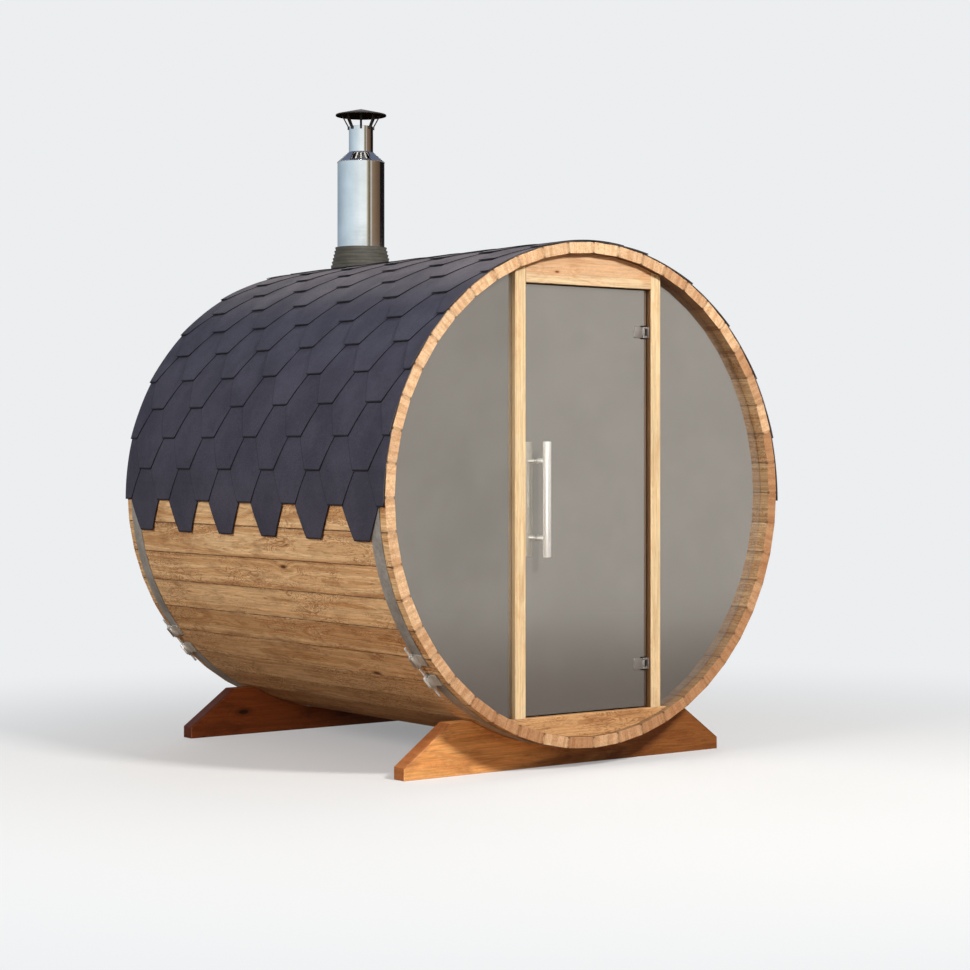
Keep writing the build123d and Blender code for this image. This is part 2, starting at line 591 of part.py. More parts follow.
# Flue: insulated pipe through the roof, with a rubber boot, vented cone and rain cap
def build_flue():
    outer = FLUE_OUTER_DIAMETER / 2
    inner = FLUE_INNER_DIAMETER / 2
    pipe = outline((outer - FLUE_SHEET, FLUE_BOTTOM + FLUE_SHEET), (inner + FLUE_FIT, FLUE_BOTTOM + FLUE_SHEET),
                   (inner + FLUE_FIT, FLUE_BOTTOM), (outer, FLUE_BOTTOM), (outer, FLUE_SHOULDER),
                   (outer - FLUE_SHEET, FLUE_SHOULDER))
    save("flue_outer_pipe", upright(pipe))
    collar = outer + FLUE_FIT
    cone = outline((collar, FLUE_SHOULDER - FLUE_COLLAR), (collar + FLUE_SHEET, FLUE_SHOULDER - FLUE_COLLAR),
                   (collar + FLUE_SHEET, FLUE_SHOULDER), (inner + FLUE_FIT + FLUE_SHEET, FLUE_CONE_TOP),
                   (inner + FLUE_FIT, FLUE_CONE_TOP), (collar - FLUE_SHEET, FLUE_SHOULDER), (collar, FLUE_SHOULDER))
    cone = upright(cone)
    half = RADIUS * math.tan(math.radians(VENT_ANGLE / 2))
    vent = outline((0, 0), (RADIUS, -half), (RADIUS, half))
    vent_low, vent_high = FLUE_SHOULDER + VENT_MARGIN, FLUE_CONE_TOP - VENT_MARGIN
    vent = Pos(0, FLUE_Y, vent_low) * Rot(0, 0, FLUE_TURN) * extrude(vent, vent_high - vent_low)
    for group in range(VENT_GROUPS):
        for k in range(VENTS_IN_GROUP):
            place = (k - (VENTS_IN_GROUP - 1) / 2) * VENT_SPACING
            cone -= about_flue(group * 360 / VENT_GROUPS + place) * vent
    save("flue_cone", cone)
    liner = outline((inner - FLUE_SHEET, FLUE_BOTTOM), (inner, FLUE_BOTTOM), (inner, FLUE_INNER_TOP),
                    (inner - FLUE_SHEET, FLUE_INNER_TOP))
    liner = upright(liner)
    rim = CAP_DIAMETER / 2
    pitch = CAP_CROWN / rim
    strut_top = STRUT_TOP_DIAMETER / 2
    cap_height = CAP_RIM + (rim - strut_top) * pitch - CAP_SHEET / 2
    seat = inner + SEAT
    strut = outline((seat, FLUE_INNER_TOP - STRUT_FOOT), (seat + STRUT_THICKNESS, FLUE_INNER_TOP - STRUT_FOOT),
                    (seat + STRUT_THICKNESS, FLUE_INNER_TOP), (strut_top, cap_height),
                    (strut_top - STRUT_THICKNESS, cap_height), (seat, FLUE_INNER_TOP))
    strut = Pos(0, FLUE_Y, 0) * Rot(0, 0, FLUE_TURN) * extrude(Plane.XZ * strut, STRUT_WIDTH / 2, both=True)
    cap = outline((0, CAP_APEX), (rim, CAP_RIM), (rim, CAP_RIM - CAP_LIP), (rim - CAP_SHEET, CAP_RIM - CAP_LIP),
                  (rim - CAP_SHEET, CAP_RIM - CAP_SHEET), (0, CAP_APEX - CAP_SHEET))
    cap = upright(cap)
    save("flue_inner_pipe", liner)
    save("flue_struts", *[about_flue(k * 360 / STRUT_COUNT) * (strut - cap) for k in range(STRUT_COUNT)])
    save("flue_rain_cap", cap)
    bottom, top = RADIUS - STAVE_THICKNESS / 2, BOOT_TOP
    grip = outer + FLUE_FIT
    steps = []
    for k in range(BOOT_STEPS):
        share = k / BOOT_STEPS
        radius = BOOT_BOTTOM_DIAMETER / 2 + (BOOT_TOP_DIAMETER - BOOT_BOTTOM_DIAMETER) / 2 * share
        low = bottom if k == 0 else RADIUS + (top - RADIUS) * share
        high = RADIUS + (top - RADIUS) * (k + 1) / BOOT_STEPS
        steps += [(radius, low), (radius - BOOT_WALL / 4, high)]
    boot = upright(outline(*steps, (grip, top), (grip, top - BOOT_WALL * 4),
                           (BOOT_BOTTOM_DIAMETER / 2 - BOOT_WALL, bottom)))
    boot -= along_barrel(saddle(FELT_TOP + TAB_EDGE + SEAT), FRONT, REAR)
    save("flue_boot", boot)


os.makedirs("parts", exist_ok=True)
build_staves()
build_front()
build_door()
build_hinges()
build_handles()
build_rear_wall()
build_floor()
build_cradles()
build_hoops()
build_felt()
build_ridge()
build_flue()
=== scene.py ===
import math
import random

import bmesh
import bpy
from mathutils import Matrix, Vector


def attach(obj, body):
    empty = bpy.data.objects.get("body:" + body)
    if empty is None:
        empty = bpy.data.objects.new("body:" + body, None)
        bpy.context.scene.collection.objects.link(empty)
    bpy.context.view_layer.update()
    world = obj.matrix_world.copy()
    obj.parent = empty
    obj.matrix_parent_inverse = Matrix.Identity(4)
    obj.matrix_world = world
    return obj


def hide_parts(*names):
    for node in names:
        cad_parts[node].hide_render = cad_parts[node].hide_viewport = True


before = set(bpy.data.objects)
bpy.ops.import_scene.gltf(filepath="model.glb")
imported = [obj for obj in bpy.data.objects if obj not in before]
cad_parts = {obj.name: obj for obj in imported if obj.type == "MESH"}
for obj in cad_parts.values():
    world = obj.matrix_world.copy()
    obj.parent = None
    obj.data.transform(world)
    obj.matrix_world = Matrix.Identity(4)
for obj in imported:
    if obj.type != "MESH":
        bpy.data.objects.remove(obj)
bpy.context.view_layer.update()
scene = bpy.context.scene

# View: eye height, about nine metres off, turned 37 degrees from the door's own
# direction, through a long lens held level. The frame is shifted a little downwards.
lens = bpy.data.cameras.new("view")
lens.lens = 83.605
lens.sensor_width = 36
lens.shift_y = -0.03027
eye = bpy.data.objects.new("view", lens)
eye.location = (-5.7003, -7.0424, 1.2355)
eye.rotation_euler = (math.radians(90), 0, -0.6456)
scene.collection.objects.link(eye)
scene.camera = eye


# Staves: 48 boards of heat-treated and oiled spruce, each milled with a bead on one edge
# and a cove on the other, so that they lock as the hoops draw them round. Their square
# sawn ends make the rim, and grooves on the inside take the glass and the rear wall.
axis_height = 1.080
barrel_axis = Vector((0, 0, axis_height))
rim_front, rim_rear = -0.190, 1.810
stave_angle = math.radians(7.5)
stave_taper, stave_middle, stave_inside = math.tan(stave_angle / 2), 0.976, -0.0196
end_easing, rim_run = 0.0016, 0.055
sawyer = random.Random(48)


def wire(tree, kind, sockets=(), **settings):
    """One node, with its sockets set to values or joined to other sockets."""
    made = tree.nodes.new("ShaderNode" + kind)
    for key, value in settings.items():
        setattr(made, key, value)
    for key, value in dict(sockets).items():
        if isinstance(value, bpy.types.NodeSocket):
            tree.links.new(value, made.inputs[key])
        else:
            made.inputs[key].default_value = value
    return made


def calc(tree, operation, *values):
    return wire(tree, "Math", dict(enumerate(values)), operation=operation).outputs[0]


def times(tree, first, second):
    return calc(tree, "MULTIPLY", first, second)


def shift(tree, operation, *values):
    return wire(tree, "VectorMath", dict(enumerate(values)), operation=operation).outputs[0]


def split(tree, vector):
    return wire(tree, "SeparateXYZ", {0: vector}).outputs


def on_piece(tree):
    return wire(tree, "TexCoord").outputs["Object"]


def facing_up(tree):
    """How far a face looks up, from -1 below to 1 on top."""
    return split(tree, wire(tree, "NewGeometry").outputs["Normal"])[2]


def marked(tree, attribute, kind="Fac"):
    return wire(tree, "Attribute", attribute_name=attribute).outputs[kind]


def cloud(tree, place, scale, detail=2.0, roughness=0.5, distortion=0.0):
    sockets = {"Vector": place, "Scale": scale, "Detail": detail, "Roughness": roughness, "Distortion": distortion}
    return wire(tree, "TexNoise", sockets).outputs


def streaks(tree, place, stretch, detail, roughness, distortion=0.0):
    """Cloud drawn out along an axis, as fibre and the marks of a brush are."""
    return cloud(tree, shift(tree, "MULTIPLY", place, stretch), 1.0, detail, roughness, distortion)[0]


def rise(tree, value, start, end, low=0.0, high=1.0):
    sockets = {"Value": value, "From Min": start, "From Max": end, "To Min": low, "To Max": high}
    return wire(tree, "MapRange", sockets, interpolation_type="SMOOTHSTEP").outputs[0]


def tint(tree, share, first, second, mode="MIX"):
    return wire(tree, "Mix", {0: share, 6: first, 7: second}, data_type="RGBA", blend_type=mode).outputs[2]


def colour(red, green, blue):
    """Colour as read off a display, from 0 to 255, in the linear values that shaders use."""
    parts = [c / 255 for c in (red, green, blue)]
    return tuple(c / 12.92 if c <= 0.04045 else ((c + 0.055) / 1.055) ** 2.4 for c in parts) + (1.0,)


def toned(paint, *shares):
    """The same colour with each of its three parts taken down to a share."""
    return tuple(part * share for part, share in zip(paint, shares)) + (1.0,)


def new_finish(name):
    """Empty finish, with its nodes and the shader that they lead to."""
    finish = bpy.data.materials.new(name)
    finish.use_nodes = True
    return finish, finish.node_tree, finish.node_tree.nodes["Principled BSDF"]


def relief(tree, shader, strength, depth, height):
    bump = wire(tree, "Bump", {"Strength": strength, "Distance": depth, "Height": height})
    tree.links.new(bump.outputs[0], shader.inputs["Normal"])


def timber(name, pale, dark, stain, knot, rim, mottling=0.6, roughness=0.5, ring_width=0.0036, knots=0.62,
           curls=0.5, joint=0.0, deeper=None):
    """Solid wood: rings about the heart of each board, fibre, curls, knots and stains, along its own grain; on the
    staves also painted shade, on their inner faces and on their lower and right-hand boards.
    """
    finish, tree, shader = new_finish(name)
    pale, dark, stain, knot, rim = (colour(*shade) for shade in (pale, dark, stain, knot, rim))
    grain = marked(tree, "grain", "Vector")
    heart = split(tree, marked(tree, "heart", "Vector"))
    board_tone, end = marked(tree, "tone"), marked(tree, "sawn_end_and_side_shade")
    run = {axis: times(tree, heart[2], share) for axis, share in enumerate((3.1, 7.7, 5.3))}
    own = shift(tree, "ADD", grain, wire(tree, "CombineXYZ", run).outputs[0])
    drawn = shift(tree, "MULTIPLY", own, (1.0, 0.20, 1.0))

    flat = shift(tree, "MULTIPLY", own, (5.4, 2.0, 0.0))
    spots = wire(tree, "TexVoronoi", {"Vector": flat, "Scale": 1.0, "Randomness": 0.9}, voronoi_dimensions="2D")
    luck = wire(tree, "SeparateColor", {0: spots.outputs["Color"]}).outputs
    chosen = calc(tree, "GREATER_THAN", luck[0], knots)
    near = rise(tree, spots.outputs["Distance"], 0.30, 0.0)
    swell = times(tree, times(tree, near, near), chosen)
    knot_sizes_off = calc(tree, "DIVIDE", spots.outputs["Distance"], rise(tree, luck[1], 0.0, 1.0, 0.022, 0.072))
    core = times(tree, rise(tree, knot_sizes_off, 1.0, 0.55), chosen)
    knot_edge = times(tree, rise(tree, knot_sizes_off, 1.9, 0.9), chosen)

    wander = shift(tree, "SUBTRACT", cloud(tree, drawn, 3.4, 2.0, 0.55)[1], (0.5, 0.5, 0.5))
    ripple = shift(tree, "SUBTRACT", cloud(tree, drawn, 26.0, 3.0, 0.6)[1], (0.5, 0.5, 0.5))
    bent = shift(tree, "ADD", shift(tree, "MULTIPLY", wander, (0.050, 0, 0.062)),
                 shift(tree, "MULTIPLY", ripple, (0.010, 0, 0.010)))
    at = split(tree, shift(tree, "ADD", grain, bent))
    out_x = calc(tree, "SUBTRACT", at[0], heart[0])
    out_z = calc(tree, "ADD", at[2], heart[1])
    squares = calc(tree, "ADD", times(tree, out_x, out_x), times(tree, out_z, out_z))
    reach = calc(tree, "MULTIPLY_ADD", swell, 0.016, calc(tree, "SQRT", squares))
    ring = calc(tree, "FRACT", calc(tree, "DIVIDE", reach, ring_width))
    late = times(tree, rise(tree, ring, 0.30, 0.88), rise(tree, ring, 1.0, 0.93))
    year = wire(tree, "CombineXYZ", {0: times(tree, reach, 90.0), 1: heart[2]}).outputs[0]
    years = cloud(tree, year, 1.0, 3.0, 0.7)[0]

    fibre = streaks(tree, own, (170.0, 4.0, 170.0), 3.0, 0.65)
    pores = streaks(tree, own, (900.0, 26.0, 900.0), 2.0, 0.6)
    flecks = streaks(tree, own, (260.0, 17.0, 260.0), 2.0, 0.55)
    blotch = streaks(tree, own, (17.0, 4.4, 17.0), 4.0, 0.66, 0.5)
    elsewhere = shift(tree, "ADD", shift(tree, "MULTIPLY", own, (8.0, 2.4, 8.0)), (7.0, 3.0, 1.0))
    curly = cloud(tree, elsewhere, 1.0, 3.0, 0.6)[0]
    swirl = streaks(tree, own, (21.0, 8.0, 21.0), 2.0, 0.5, 1.6)
    contour = calc(tree, "FRACT", times(tree, swirl, 9.0))
    contour = calc(tree, "ABSOLUTE", calc(tree, "SUBTRACT", contour, 0.5))
    curl = times(tree, rise(tree, contour, 0.20, 0.46), rise(tree, curly, 0.44, 0.58, 0.10, 1.0))

    figure = calc(tree, "ADD", rise(tree, years, 0.36, 0.66, 0.0, 0.70), times(tree, late, 0.30))
    face = tint(tree, figure, pale, dark)
    face = tint(tree, times(tree, rise(tree, blotch, 0.47, 0.70), mottling), face, stain)
    face = tint(tree, times(tree, curl, curls), face, stain)
    face = tint(tree, times(tree, rise(tree, flecks, 0.60, 0.72), curls), face, toned(stain, 0.62, 0.54, 0.48))
    face = tint(tree, times(tree, knot_edge, 0.6), face, stain)
    face = tint(tree, times(tree, core, 0.9), face, knot)
    rays = streaks(tree, own, (120.0, 0.0, 14.0), 2.0, 0.6, 0.4)
    bands = streaks(tree, own, (46.0, 0.0, 5.0), 2.0, 0.5, 0.2)
    # A higher board tone gives darker, more red sawn ends and darker faces; on the staves part of that tone is
    # painted shade.
    sawn = tint(tree, times(tree, figure, 0.6), rim, toned(rim, 0.84, 0.70, 0.56))
    sawn = tint(tree, rise(tree, board_tone, 0.30, 0.82, 0.0, 0.85), sawn, toned(rim, 0.62, 0.42, 0.30))
    sawn = tint(tree, rise(tree, rays, 0.40, 0.66, 0.0, 0.34), sawn, (0.70, 0.56, 0.46, 1), "MULTIPLY")
    sawn = tint(tree, rise(tree, bands, 0.44, 0.60, 0.0, 0.62), sawn, (0.72, 0.58, 0.48, 1), "MULTIPLY")
    face = tint(tree, times(tree, end, 0.92), face, sawn)
    if joint:
        across = split(tree, grain)
        half_width = calc(tree, "MULTIPLY_ADD", across[2], stave_taper, stave_taper * stave_middle)
        side = calc(tree, "SUBTRACT", half_width, calc(tree, "ABSOLUTE", across[0]))
        soiled = calc(tree, "MULTIPLY_ADD", blotch, -0.070, calc(tree, "ADD", side, 0.036))
        face = tint(tree, times(tree, rise(tree, soiled, 0.016, 0.0, 0.0, 0.55), mottling), face, stain)
        board = calc(tree, "SUBTRACT", 1.0, end)
        wear_and_shade = streaks(tree, own, (0.0, 16.0, 0.0), 3.0, 0.7)
        at_end = times(tree, end, rise(tree, calc(tree, "ABSOLUTE", across[2]), 0.0135, 0.0200, 0.12, 0.85))
        strength = calc(tree, "ADD", at_end, times(tree, board, rise(tree, wear_and_shade, 0.38, 0.60, 0.42, 1.0)))
        chipped = rise(tree, across[1], rim_front + 0.014, rim_front + 0.002)
        gap = calc(tree, "SUBTRACT", calc(tree, "ADD", side, 0.0027), times(tree, chipped, 0.0030))
        gap = rise(tree, calc(tree, "MULTIPLY_ADD", fibre, -0.005, gap), 0.0040, 0.0014)
        face = tint(tree, times(tree, gap, times(tree, strength, joint)), face, knot)
        # Painted shade on the staves' inner faces: a little on all of them, more on those facing up, most on those
        # facing down under the rim.
        facing = facing_up(tree)
        inside = times(tree, rise(tree, across[2], stave_inside + 0.0016, stave_inside), board)
        shaded = calc(tree, "ADD", rise(tree, facing, -0.30, -0.92, 0.14, 0.92),
                      rise(tree, facing, 0.15, 0.75, 0.0, 0.52))
        face = tint(tree, times(tree, inside, shaded), face, toned(stain, 0.45, 0.45, 0.45))
    streak = calc(tree, "ADD", rise(tree, fibre, 0.28, 0.74, 0.82, 1.14), rise(tree, pores, 0.3, 0.7, -0.06, 0.06))
    streak = times(tree, streak, calc(tree, "MULTIPLY_ADD", board_tone, -0.26, 1.12))
    grey = wire(tree, "CombineColor", {0: streak, 1: streak, 2: streak}).outputs[0]
    face = tint(tree, 1.0, face, grey, "MULTIPLY")
    # Darker towards one end along an axis: the reddish top of the header, and painted shade at the right end of the
    # front cradle.
    if deeper:
        axis, start, end_at, shade = deeper
        half_fade = (end_at - start) / 2
        place = calc(tree, "MULTIPLY_ADD", blotch, end_at - start, split(tree, on_piece(tree))[axis])
        deep = rise(tree, place, start + half_fade, end_at + half_fade)
        face = tint(tree, deep, face, (*shade, 1.0), "MULTIPLY")
    tree.links.new(face, shader.inputs["Base Color"])

    rough = rise(tree, fibre, 0.25, 0.75, roughness - 0.06, roughness + 0.10)
    tree.links.new(calc(tree, "MULTIPLY_ADD", core, -0.12, rough), shader.inputs["Roughness"])
    shader.inputs["Specular IOR Level"].default_value = 0.30
    height = times(tree, late, 0.35)
    for part, share in ((fibre, 0.8), (pores, 0.5), (core, 0.5)):
        height = calc(tree, "MULTIPLY_ADD", part, share, height)
    relief(tree, shader, 0.55, 0.0011, height)
    return finish


def welded(node, wood=True):
    """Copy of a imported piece, its loose triangles joined into whole faces, ready to carry its grain."""
    bm = bmesh.new()
    bm.from_mesh(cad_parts[node].data)
    bmesh.ops.remove_doubles(bm, verts=bm.verts, dist=2e-5)
    bmesh.ops.dissolve_limit(bm, angle_limit=math.radians(0.6), verts=bm.verts, edges=bm.edges)
    if wood:
        bm.verts.layers.float_vector.new("grain")
        bm.verts.layers.float_vector.new("heart")
        bm.verts.layers.float.new("tone")
        bm.faces.layers.float.new("sawn_end_and_side_shade")
    return bm


def boards_of(bm):
    """Separate boards of a mesh in its own order, each a list of its points, found from neighbour to neighbour."""
    found, boards = set(), []
    for first in bm.verts:
        if first not in found:
            found.add(first)
            board = [first]
            for point in board:
                for other in [edge.other_vert(point) for edge in point.link_edges]:
                    if other not in found:
                        found.add(other)
                        board.append(other)
            boards.append(board)
    return boards


def middle_of(board):
    return sum((v.co for v in board), Vector()) / len(board)


def corners(bm, angle):
    """Edges of a piece where two faces meet at more than an angle."""
    return [e for e in bm.edges if len(e.link_faces) == 2 and e.calc_face_angle() > angle]


def lay_grain(bm, board, centre, along, outward, tree_side=0.055, spread=0.022, tone_and_shade_bias=0.5):
    """Says where in the tree a board was sawn, for each of its points, and marks its sawn ends."""
    grain, heart = bm.verts.layers.float_vector["grain"], bm.verts.layers.float_vector["heart"]
    tone, sawn_end_and_side_shade = bm.verts.layers.float["tone"], bm.faces.layers.float["sawn_end_and_side_shade"]
    across = along.cross(outward)
    place = (sawyer.uniform(-spread, spread), tree_side * sawyer.uniform(0.55, 1.9), sawyer.uniform(0, 40))
    side = sawyer.choice((-1, 1))
    # Half random tone, half the bias, which on the staves is painted shade.
    shade = 0.5 * sawyer.random() + 0.5 * tone_and_shade_bias
    for point in board:
        from_centre = point.co - centre
        point[grain] = (side * from_centre.dot(across), from_centre.dot(along), from_centre.dot(outward))
        point[heart] = place
        point[tone] = shade
    for face in {face for point in board for face in point.link_faces}:
        face[sawn_end_and_side_shade] = 1.0 if abs(face.normal.dot(along)) > 0.8 else 0.0


def fitted(name, bm, body, finishes, nodes=(), smooth=None):
    """Finished piece, in its place on its body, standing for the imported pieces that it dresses."""
    mesh = bpy.data.meshes.new(name)
    bmesh.ops.recalc_face_normals(bm, faces=bm.faces)
    bm.to_mesh(mesh)
    bm.free()
    for finish in finishes:
        mesh.materials.append(finish)
    if smooth is not None:
        mesh.shade_smooth()
        mesh.set_sharp_from_angle(angle=math.radians(smooth))
    made = bpy.data.objects.new(name, mesh)
    scene.collection.objects.link(made)
    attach(made, body)
    if nodes:
        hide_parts(*nodes)
    return made


def ease(bm, edges, width, steps=2):
    bmesh.ops.bevel(bm, geom=edges, offset=width, offset_type="OFFSET", segments=steps, profile=0.5,
                    affect="EDGES", clamp_overlap=True, material=-1)


oiled_stave = timber("oiled stave", (232, 200, 154), (184, 136, 86), (134, 84, 44), (66, 35, 18), (244, 212, 172),
                     mottling=0.38, roughness=0.56, knots=0.78, curls=0.66, joint=0.85)

for hour in range(1, 13):
    bm = welded(f"staves_{hour:02d}_oclock")
    rims = [e for e in bm.edges if len(e.link_faces) == 2 and e.calc_length() > rim_run and any(
        all(abs(v.co.y - rim) < 1e-4 for v in e.verts) for rim in (rim_front, rim_rear))]
    ease(bm, rims, end_easing)
    for board in boards_of(bm):
        middle = middle_of(board) - barrel_axis
        turn = (math.floor(math.atan2(middle.x, middle.z) / stave_angle) + 0.5) * stave_angle
        outward = Vector((math.sin(turn), 0, math.cos(turn)))
        # Painted shade: the tone is biased higher on the lower and right-hand boards, so that they come out darker
        # and more red.
        lay_grain(bm, board, barrel_axis + outward * stave_middle, Vector((0, 1, 0)), outward,
                  tone_and_shade_bias=0.46 + 0.42 * outward.x - 0.46 * outward.z)
    fitted(f"milled_staves_{hour:02d}", bm, "sauna", [oiled_stave], [f"staves_{hour:02d}_oclock"])


# Rear wall: fourteen upright boards of the same spruce with chamfered joints, cut to a
# disc and let into the groove near the staves' rear ends.
planed_board = timber("planed board", (214, 172, 122), (182, 134, 88), (146, 96, 58), (84, 48, 26), (222, 178, 130),
                      mottling=0.45, roughness=0.55)
rear_wall_middle = 1.748
bm = welded("rear_wall_boards")
for board in boards_of(bm):
    heartwood = Vector((middle_of(board).x, rear_wall_middle, axis_height))
    lay_grain(bm, board, heartwood, Vector((0, 0, 1)), Vector((0, 1, 0)))
fitted("rear_wall", bm, "sauna", [planed_board], ["rear_wall_boards"])


# Floor: planed boards laid along the barrel with gaps between them, on four bearers that
# are sawn to the round of the lowest staves.
for node, along in (("floor_boards", Vector((0, 1, 0))), ("floor_bearers", Vector((1, 0, 0)))):
    bm = welded(node)
    ease(bm, corners(bm, 1.2), 0.002)
    for board in boards_of(bm):
        lay_grain(bm, board, middle_of(board), along, Vector((0, 0, 1)))
    fitted(f"laid_{node}", bm, "sauna", [planed_board], [node])


# Door frame: posts of pale laminated spruce, a header of redder and a sill of browner wood,
# planed and eased at the front, cut to the round of the staves and screwed to them.
# The pale spruce's sawn-end colour is a dark brown, which paints shade on the posts' left-facing sides.
pale_spruce = timber("pale spruce", (247, 226, 184), (234, 200, 148), (206, 154, 102), (120, 68, 36), (150, 118, 66),
                     mottling=0.40, roughness=0.46, ring_width=0.0030, knots=0.76, curls=0.16)
red_spruce = timber("red spruce", (238, 215, 176), (226, 190, 145), (200, 150, 106), (104, 56, 30), (226, 186, 136),
                    mottling=0.4, roughness=0.46, ring_width=0.0032, knots=0.66, curls=0.22,
                    deeper=(2, 1.934, 1.952, (0.94, 0.80, 0.74)))
sill_spruce = timber("sill spruce", (226, 180, 128), (192, 142, 92), (146, 94, 54), (74, 40, 22), (206, 160, 112),
                     mottling=0.55, roughness=0.50, ring_width=0.0038, knots=0.66, curls=0.65)
upright, level_along = Vector((0, 0, 1)), Vector((1, 0, 0))
for node, along, spruce in (("door_post_left", upright, pale_spruce), ("door_post_right", upright, pale_spruce),
                            ("door_header", level_along, red_spruce), ("door_sill", level_along, sill_spruce)):
    bm = welded(node)
    ease(bm, corners(bm, 0.6), 0.0007)
    for board in boards_of(bm):
        lay_grain(bm, board, middle_of(board), along, Vector((0, -1, 0)), tree_side=0.09, spread=0.03)
    # Painted shade on the posts' left-facing sides: they take the sawn-end colour, fully on the right post and half
    # on the left.
    if along.z:
        for face in bm.faces:
            if face.normal.x < -0.8:
                face[bm.faces.layers.float["sawn_end_and_side_shade"]] = 1.0 if node == "door_post_right" else 0.5
    fitted(f"spruce_{node}", bm, "sauna", [spruce], [node])


# Glass: 8 mm toughened panes with a grey mirror film of metal on them, ground edges, and
# round corners, notches and holes in the leaf. By day they mirror more than they show.
def mirrored(name, light, dark, painted_low_reflection):
    finish, tree, shader = new_finish(name)
    place = on_piece(tree)
    haze = cloud(tree, place, 2.2, 3.0, 0.6)[0]
    specks = cloud(tree, place, 420.0, 2.0, 0.5)[0]
    film = tint(tree, rise(tree, haze, 0.35, 0.7), dark, light)
    # Painted reflection: the film is darker towards the bottom, as if mirroring darker ground.
    film = tint(tree, rise(tree, split(tree, place)[2], 0.74, 0.24, 0.0, 0.60), film, painted_low_reflection)
    flatness = calc(tree, "ABSOLUTE", split(tree, wire(tree, "TexCoord").outputs["Normal"])[1])
    ground = rise(tree, flatness, 0.95, 0.75)
    film = tint(tree, ground, film, colour(84, 90, 84))
    tree.links.new(film, shader.inputs["Base Color"])
    dust = calc(tree, "ADD", rise(tree, haze, 0.45, 0.8, 0.012, 0.035), rise(tree, specks, 0.68, 0.76, 0.0, 0.08))
    dust = calc(tree, "MULTIPLY_ADD", ground, 0.45, dust)
    tree.links.new(dust, shader.inputs["Roughness"])
    shader.inputs["Metallic"].default_value = 0.80
    shader.inputs["Transmission Weight"].default_value = 0.62
    shader.inputs["IOR"].default_value = 1.5
    relief(tree, shader, 0.05, 0.002, cloud(tree, place, 5.0, 1.0)[0])
    return finish


clear_film = mirrored("mirror film glass", colour(236, 233, 228), colour(228, 225, 220), colour(128, 120, 114))
# Painted reflection: the left pane's film is a little darker, as if mirroring darker surroundings.
darker_reflection_film = mirrored("film glass with painted darker reflection", colour(218, 215, 210), colour(208, 205, 200), colour(136, 128, 122))
for node, body, film_glass in (("glass_left", "sauna", darker_reflection_film), ("glass_right", "sauna", clear_film),
                               ("door_glass", "door", clear_film)):
    bm = welded(node, wood=False)
    ease(bm, [e for e in corners(bm, 1.2) if abs(e.verts[0].co.y - e.verts[1].co.y) < 1e-5], 0.0009)
    fitted(f"film_{node}", bm, body, [film_glass], [node])


# Door hardware: brushed stainless steel. Hinges that clamp the leaf between two cheeks
# turn on pins between the ears of a plate on the post. The pull is a pair of round bars,
# back to back through the glass on two standoffs.
def steel(name, base, roughness, spread, draw, scratch=0.3, metal=1.0, soot_and_shade=None, shade_height=None):
    """Steel with fine marks drawn along one direction, given as how much each axis is stretched, and either smoke
    stain with painted shade on its lower faces, or painted shade below a height."""
    finish, tree, shader = new_finish(name)
    place = on_piece(tree)
    lines = streaks(tree, place, draw, 3.0, 0.6)
    patches = cloud(tree, place, 9.0, 3.0, 0.55)[0]
    body = tint(tree, rise(tree, patches, 0.3, 0.75), base, toned(base, 0.86, 0.86, 0.86))
    body = tint(tree, rise(tree, lines, 0.35, 0.7, 0.0, min(0.25, scratch)), body, toned(base, 0.7, 0.7, 0.7))
    shader.inputs["Metallic"].default_value = metal
    # Painted shade: below a height, or together with smoke stain on the lower faces.
    if soot_and_shade:
        if shade_height:
            height = calc(tree, "MULTIPLY_ADD", patches, 0.004, split(tree, place)[2])
            soot_and_shade_share = rise(tree, height, shade_height + 0.003, shade_height, 0.0, 0.95)
        else:
            soot_and_shade_share = rise(tree, facing_up(tree), 0.90, -0.20, 0.10, 0.97)
            shader.inputs["Specular IOR Level"].default_value = 0.0
        body = tint(tree, soot_and_shade_share, body, soot_and_shade)
        tree.links.new(calc(tree, "SUBTRACT", 1.0, soot_and_shade_share), shader.inputs["Metallic"])
    tree.links.new(body, shader.inputs["Base Color"])
    rough = calc(tree, "ADD", rise(tree, lines, 0.3, 0.7, roughness - spread, roughness + spread),
                 rise(tree, patches, 0.4, 0.8, 0.0, spread))
    tree.links.new(calc(tree, "MULTIPLY_ADD", soot_and_shade_share, 0.4, rough) if soot_and_shade else rough, shader.inputs["Roughness"])
    relief(tree, shader, scratch, 0.0002, lines)
    return finish


satin = steel("satin steel", colour(158, 154, 150), 0.34, 0.06, (500.0, 500.0, 12.0), metal=0.6)
drawn_bar = steel("drawn bar steel", colour(242, 245, 243), 0.30, 0.05, (500.0, 500.0, 9.0), metal=0.30)
for side in ("upper", "lower"):
    for node, body in ((f"hinge_plate_{side}", "sauna"), (f"hinge_clamp_{side}", "door")):
        bm = welded(node, wood=False)
        ease(bm, corners(bm, 1.0), 0.0006)
        fitted(f"steel_{node}", bm, body, [satin], [node], smooth=38)

handle_x, handle_middle, bar_length, fixing_offset = -0.2455, 1.065, 0.450, 0.150
bar_radius, standoff_radius, collar_radius, collar_depth = 0.01594, 0.010, 0.0118, 0.0022


def round_bar(bm, radius, length, place, segments=32):
    bmesh.ops.create_cone(bm, cap_ends=True, segments=segments, radius1=radius, radius2=radius, depth=length,
                          matrix=place)


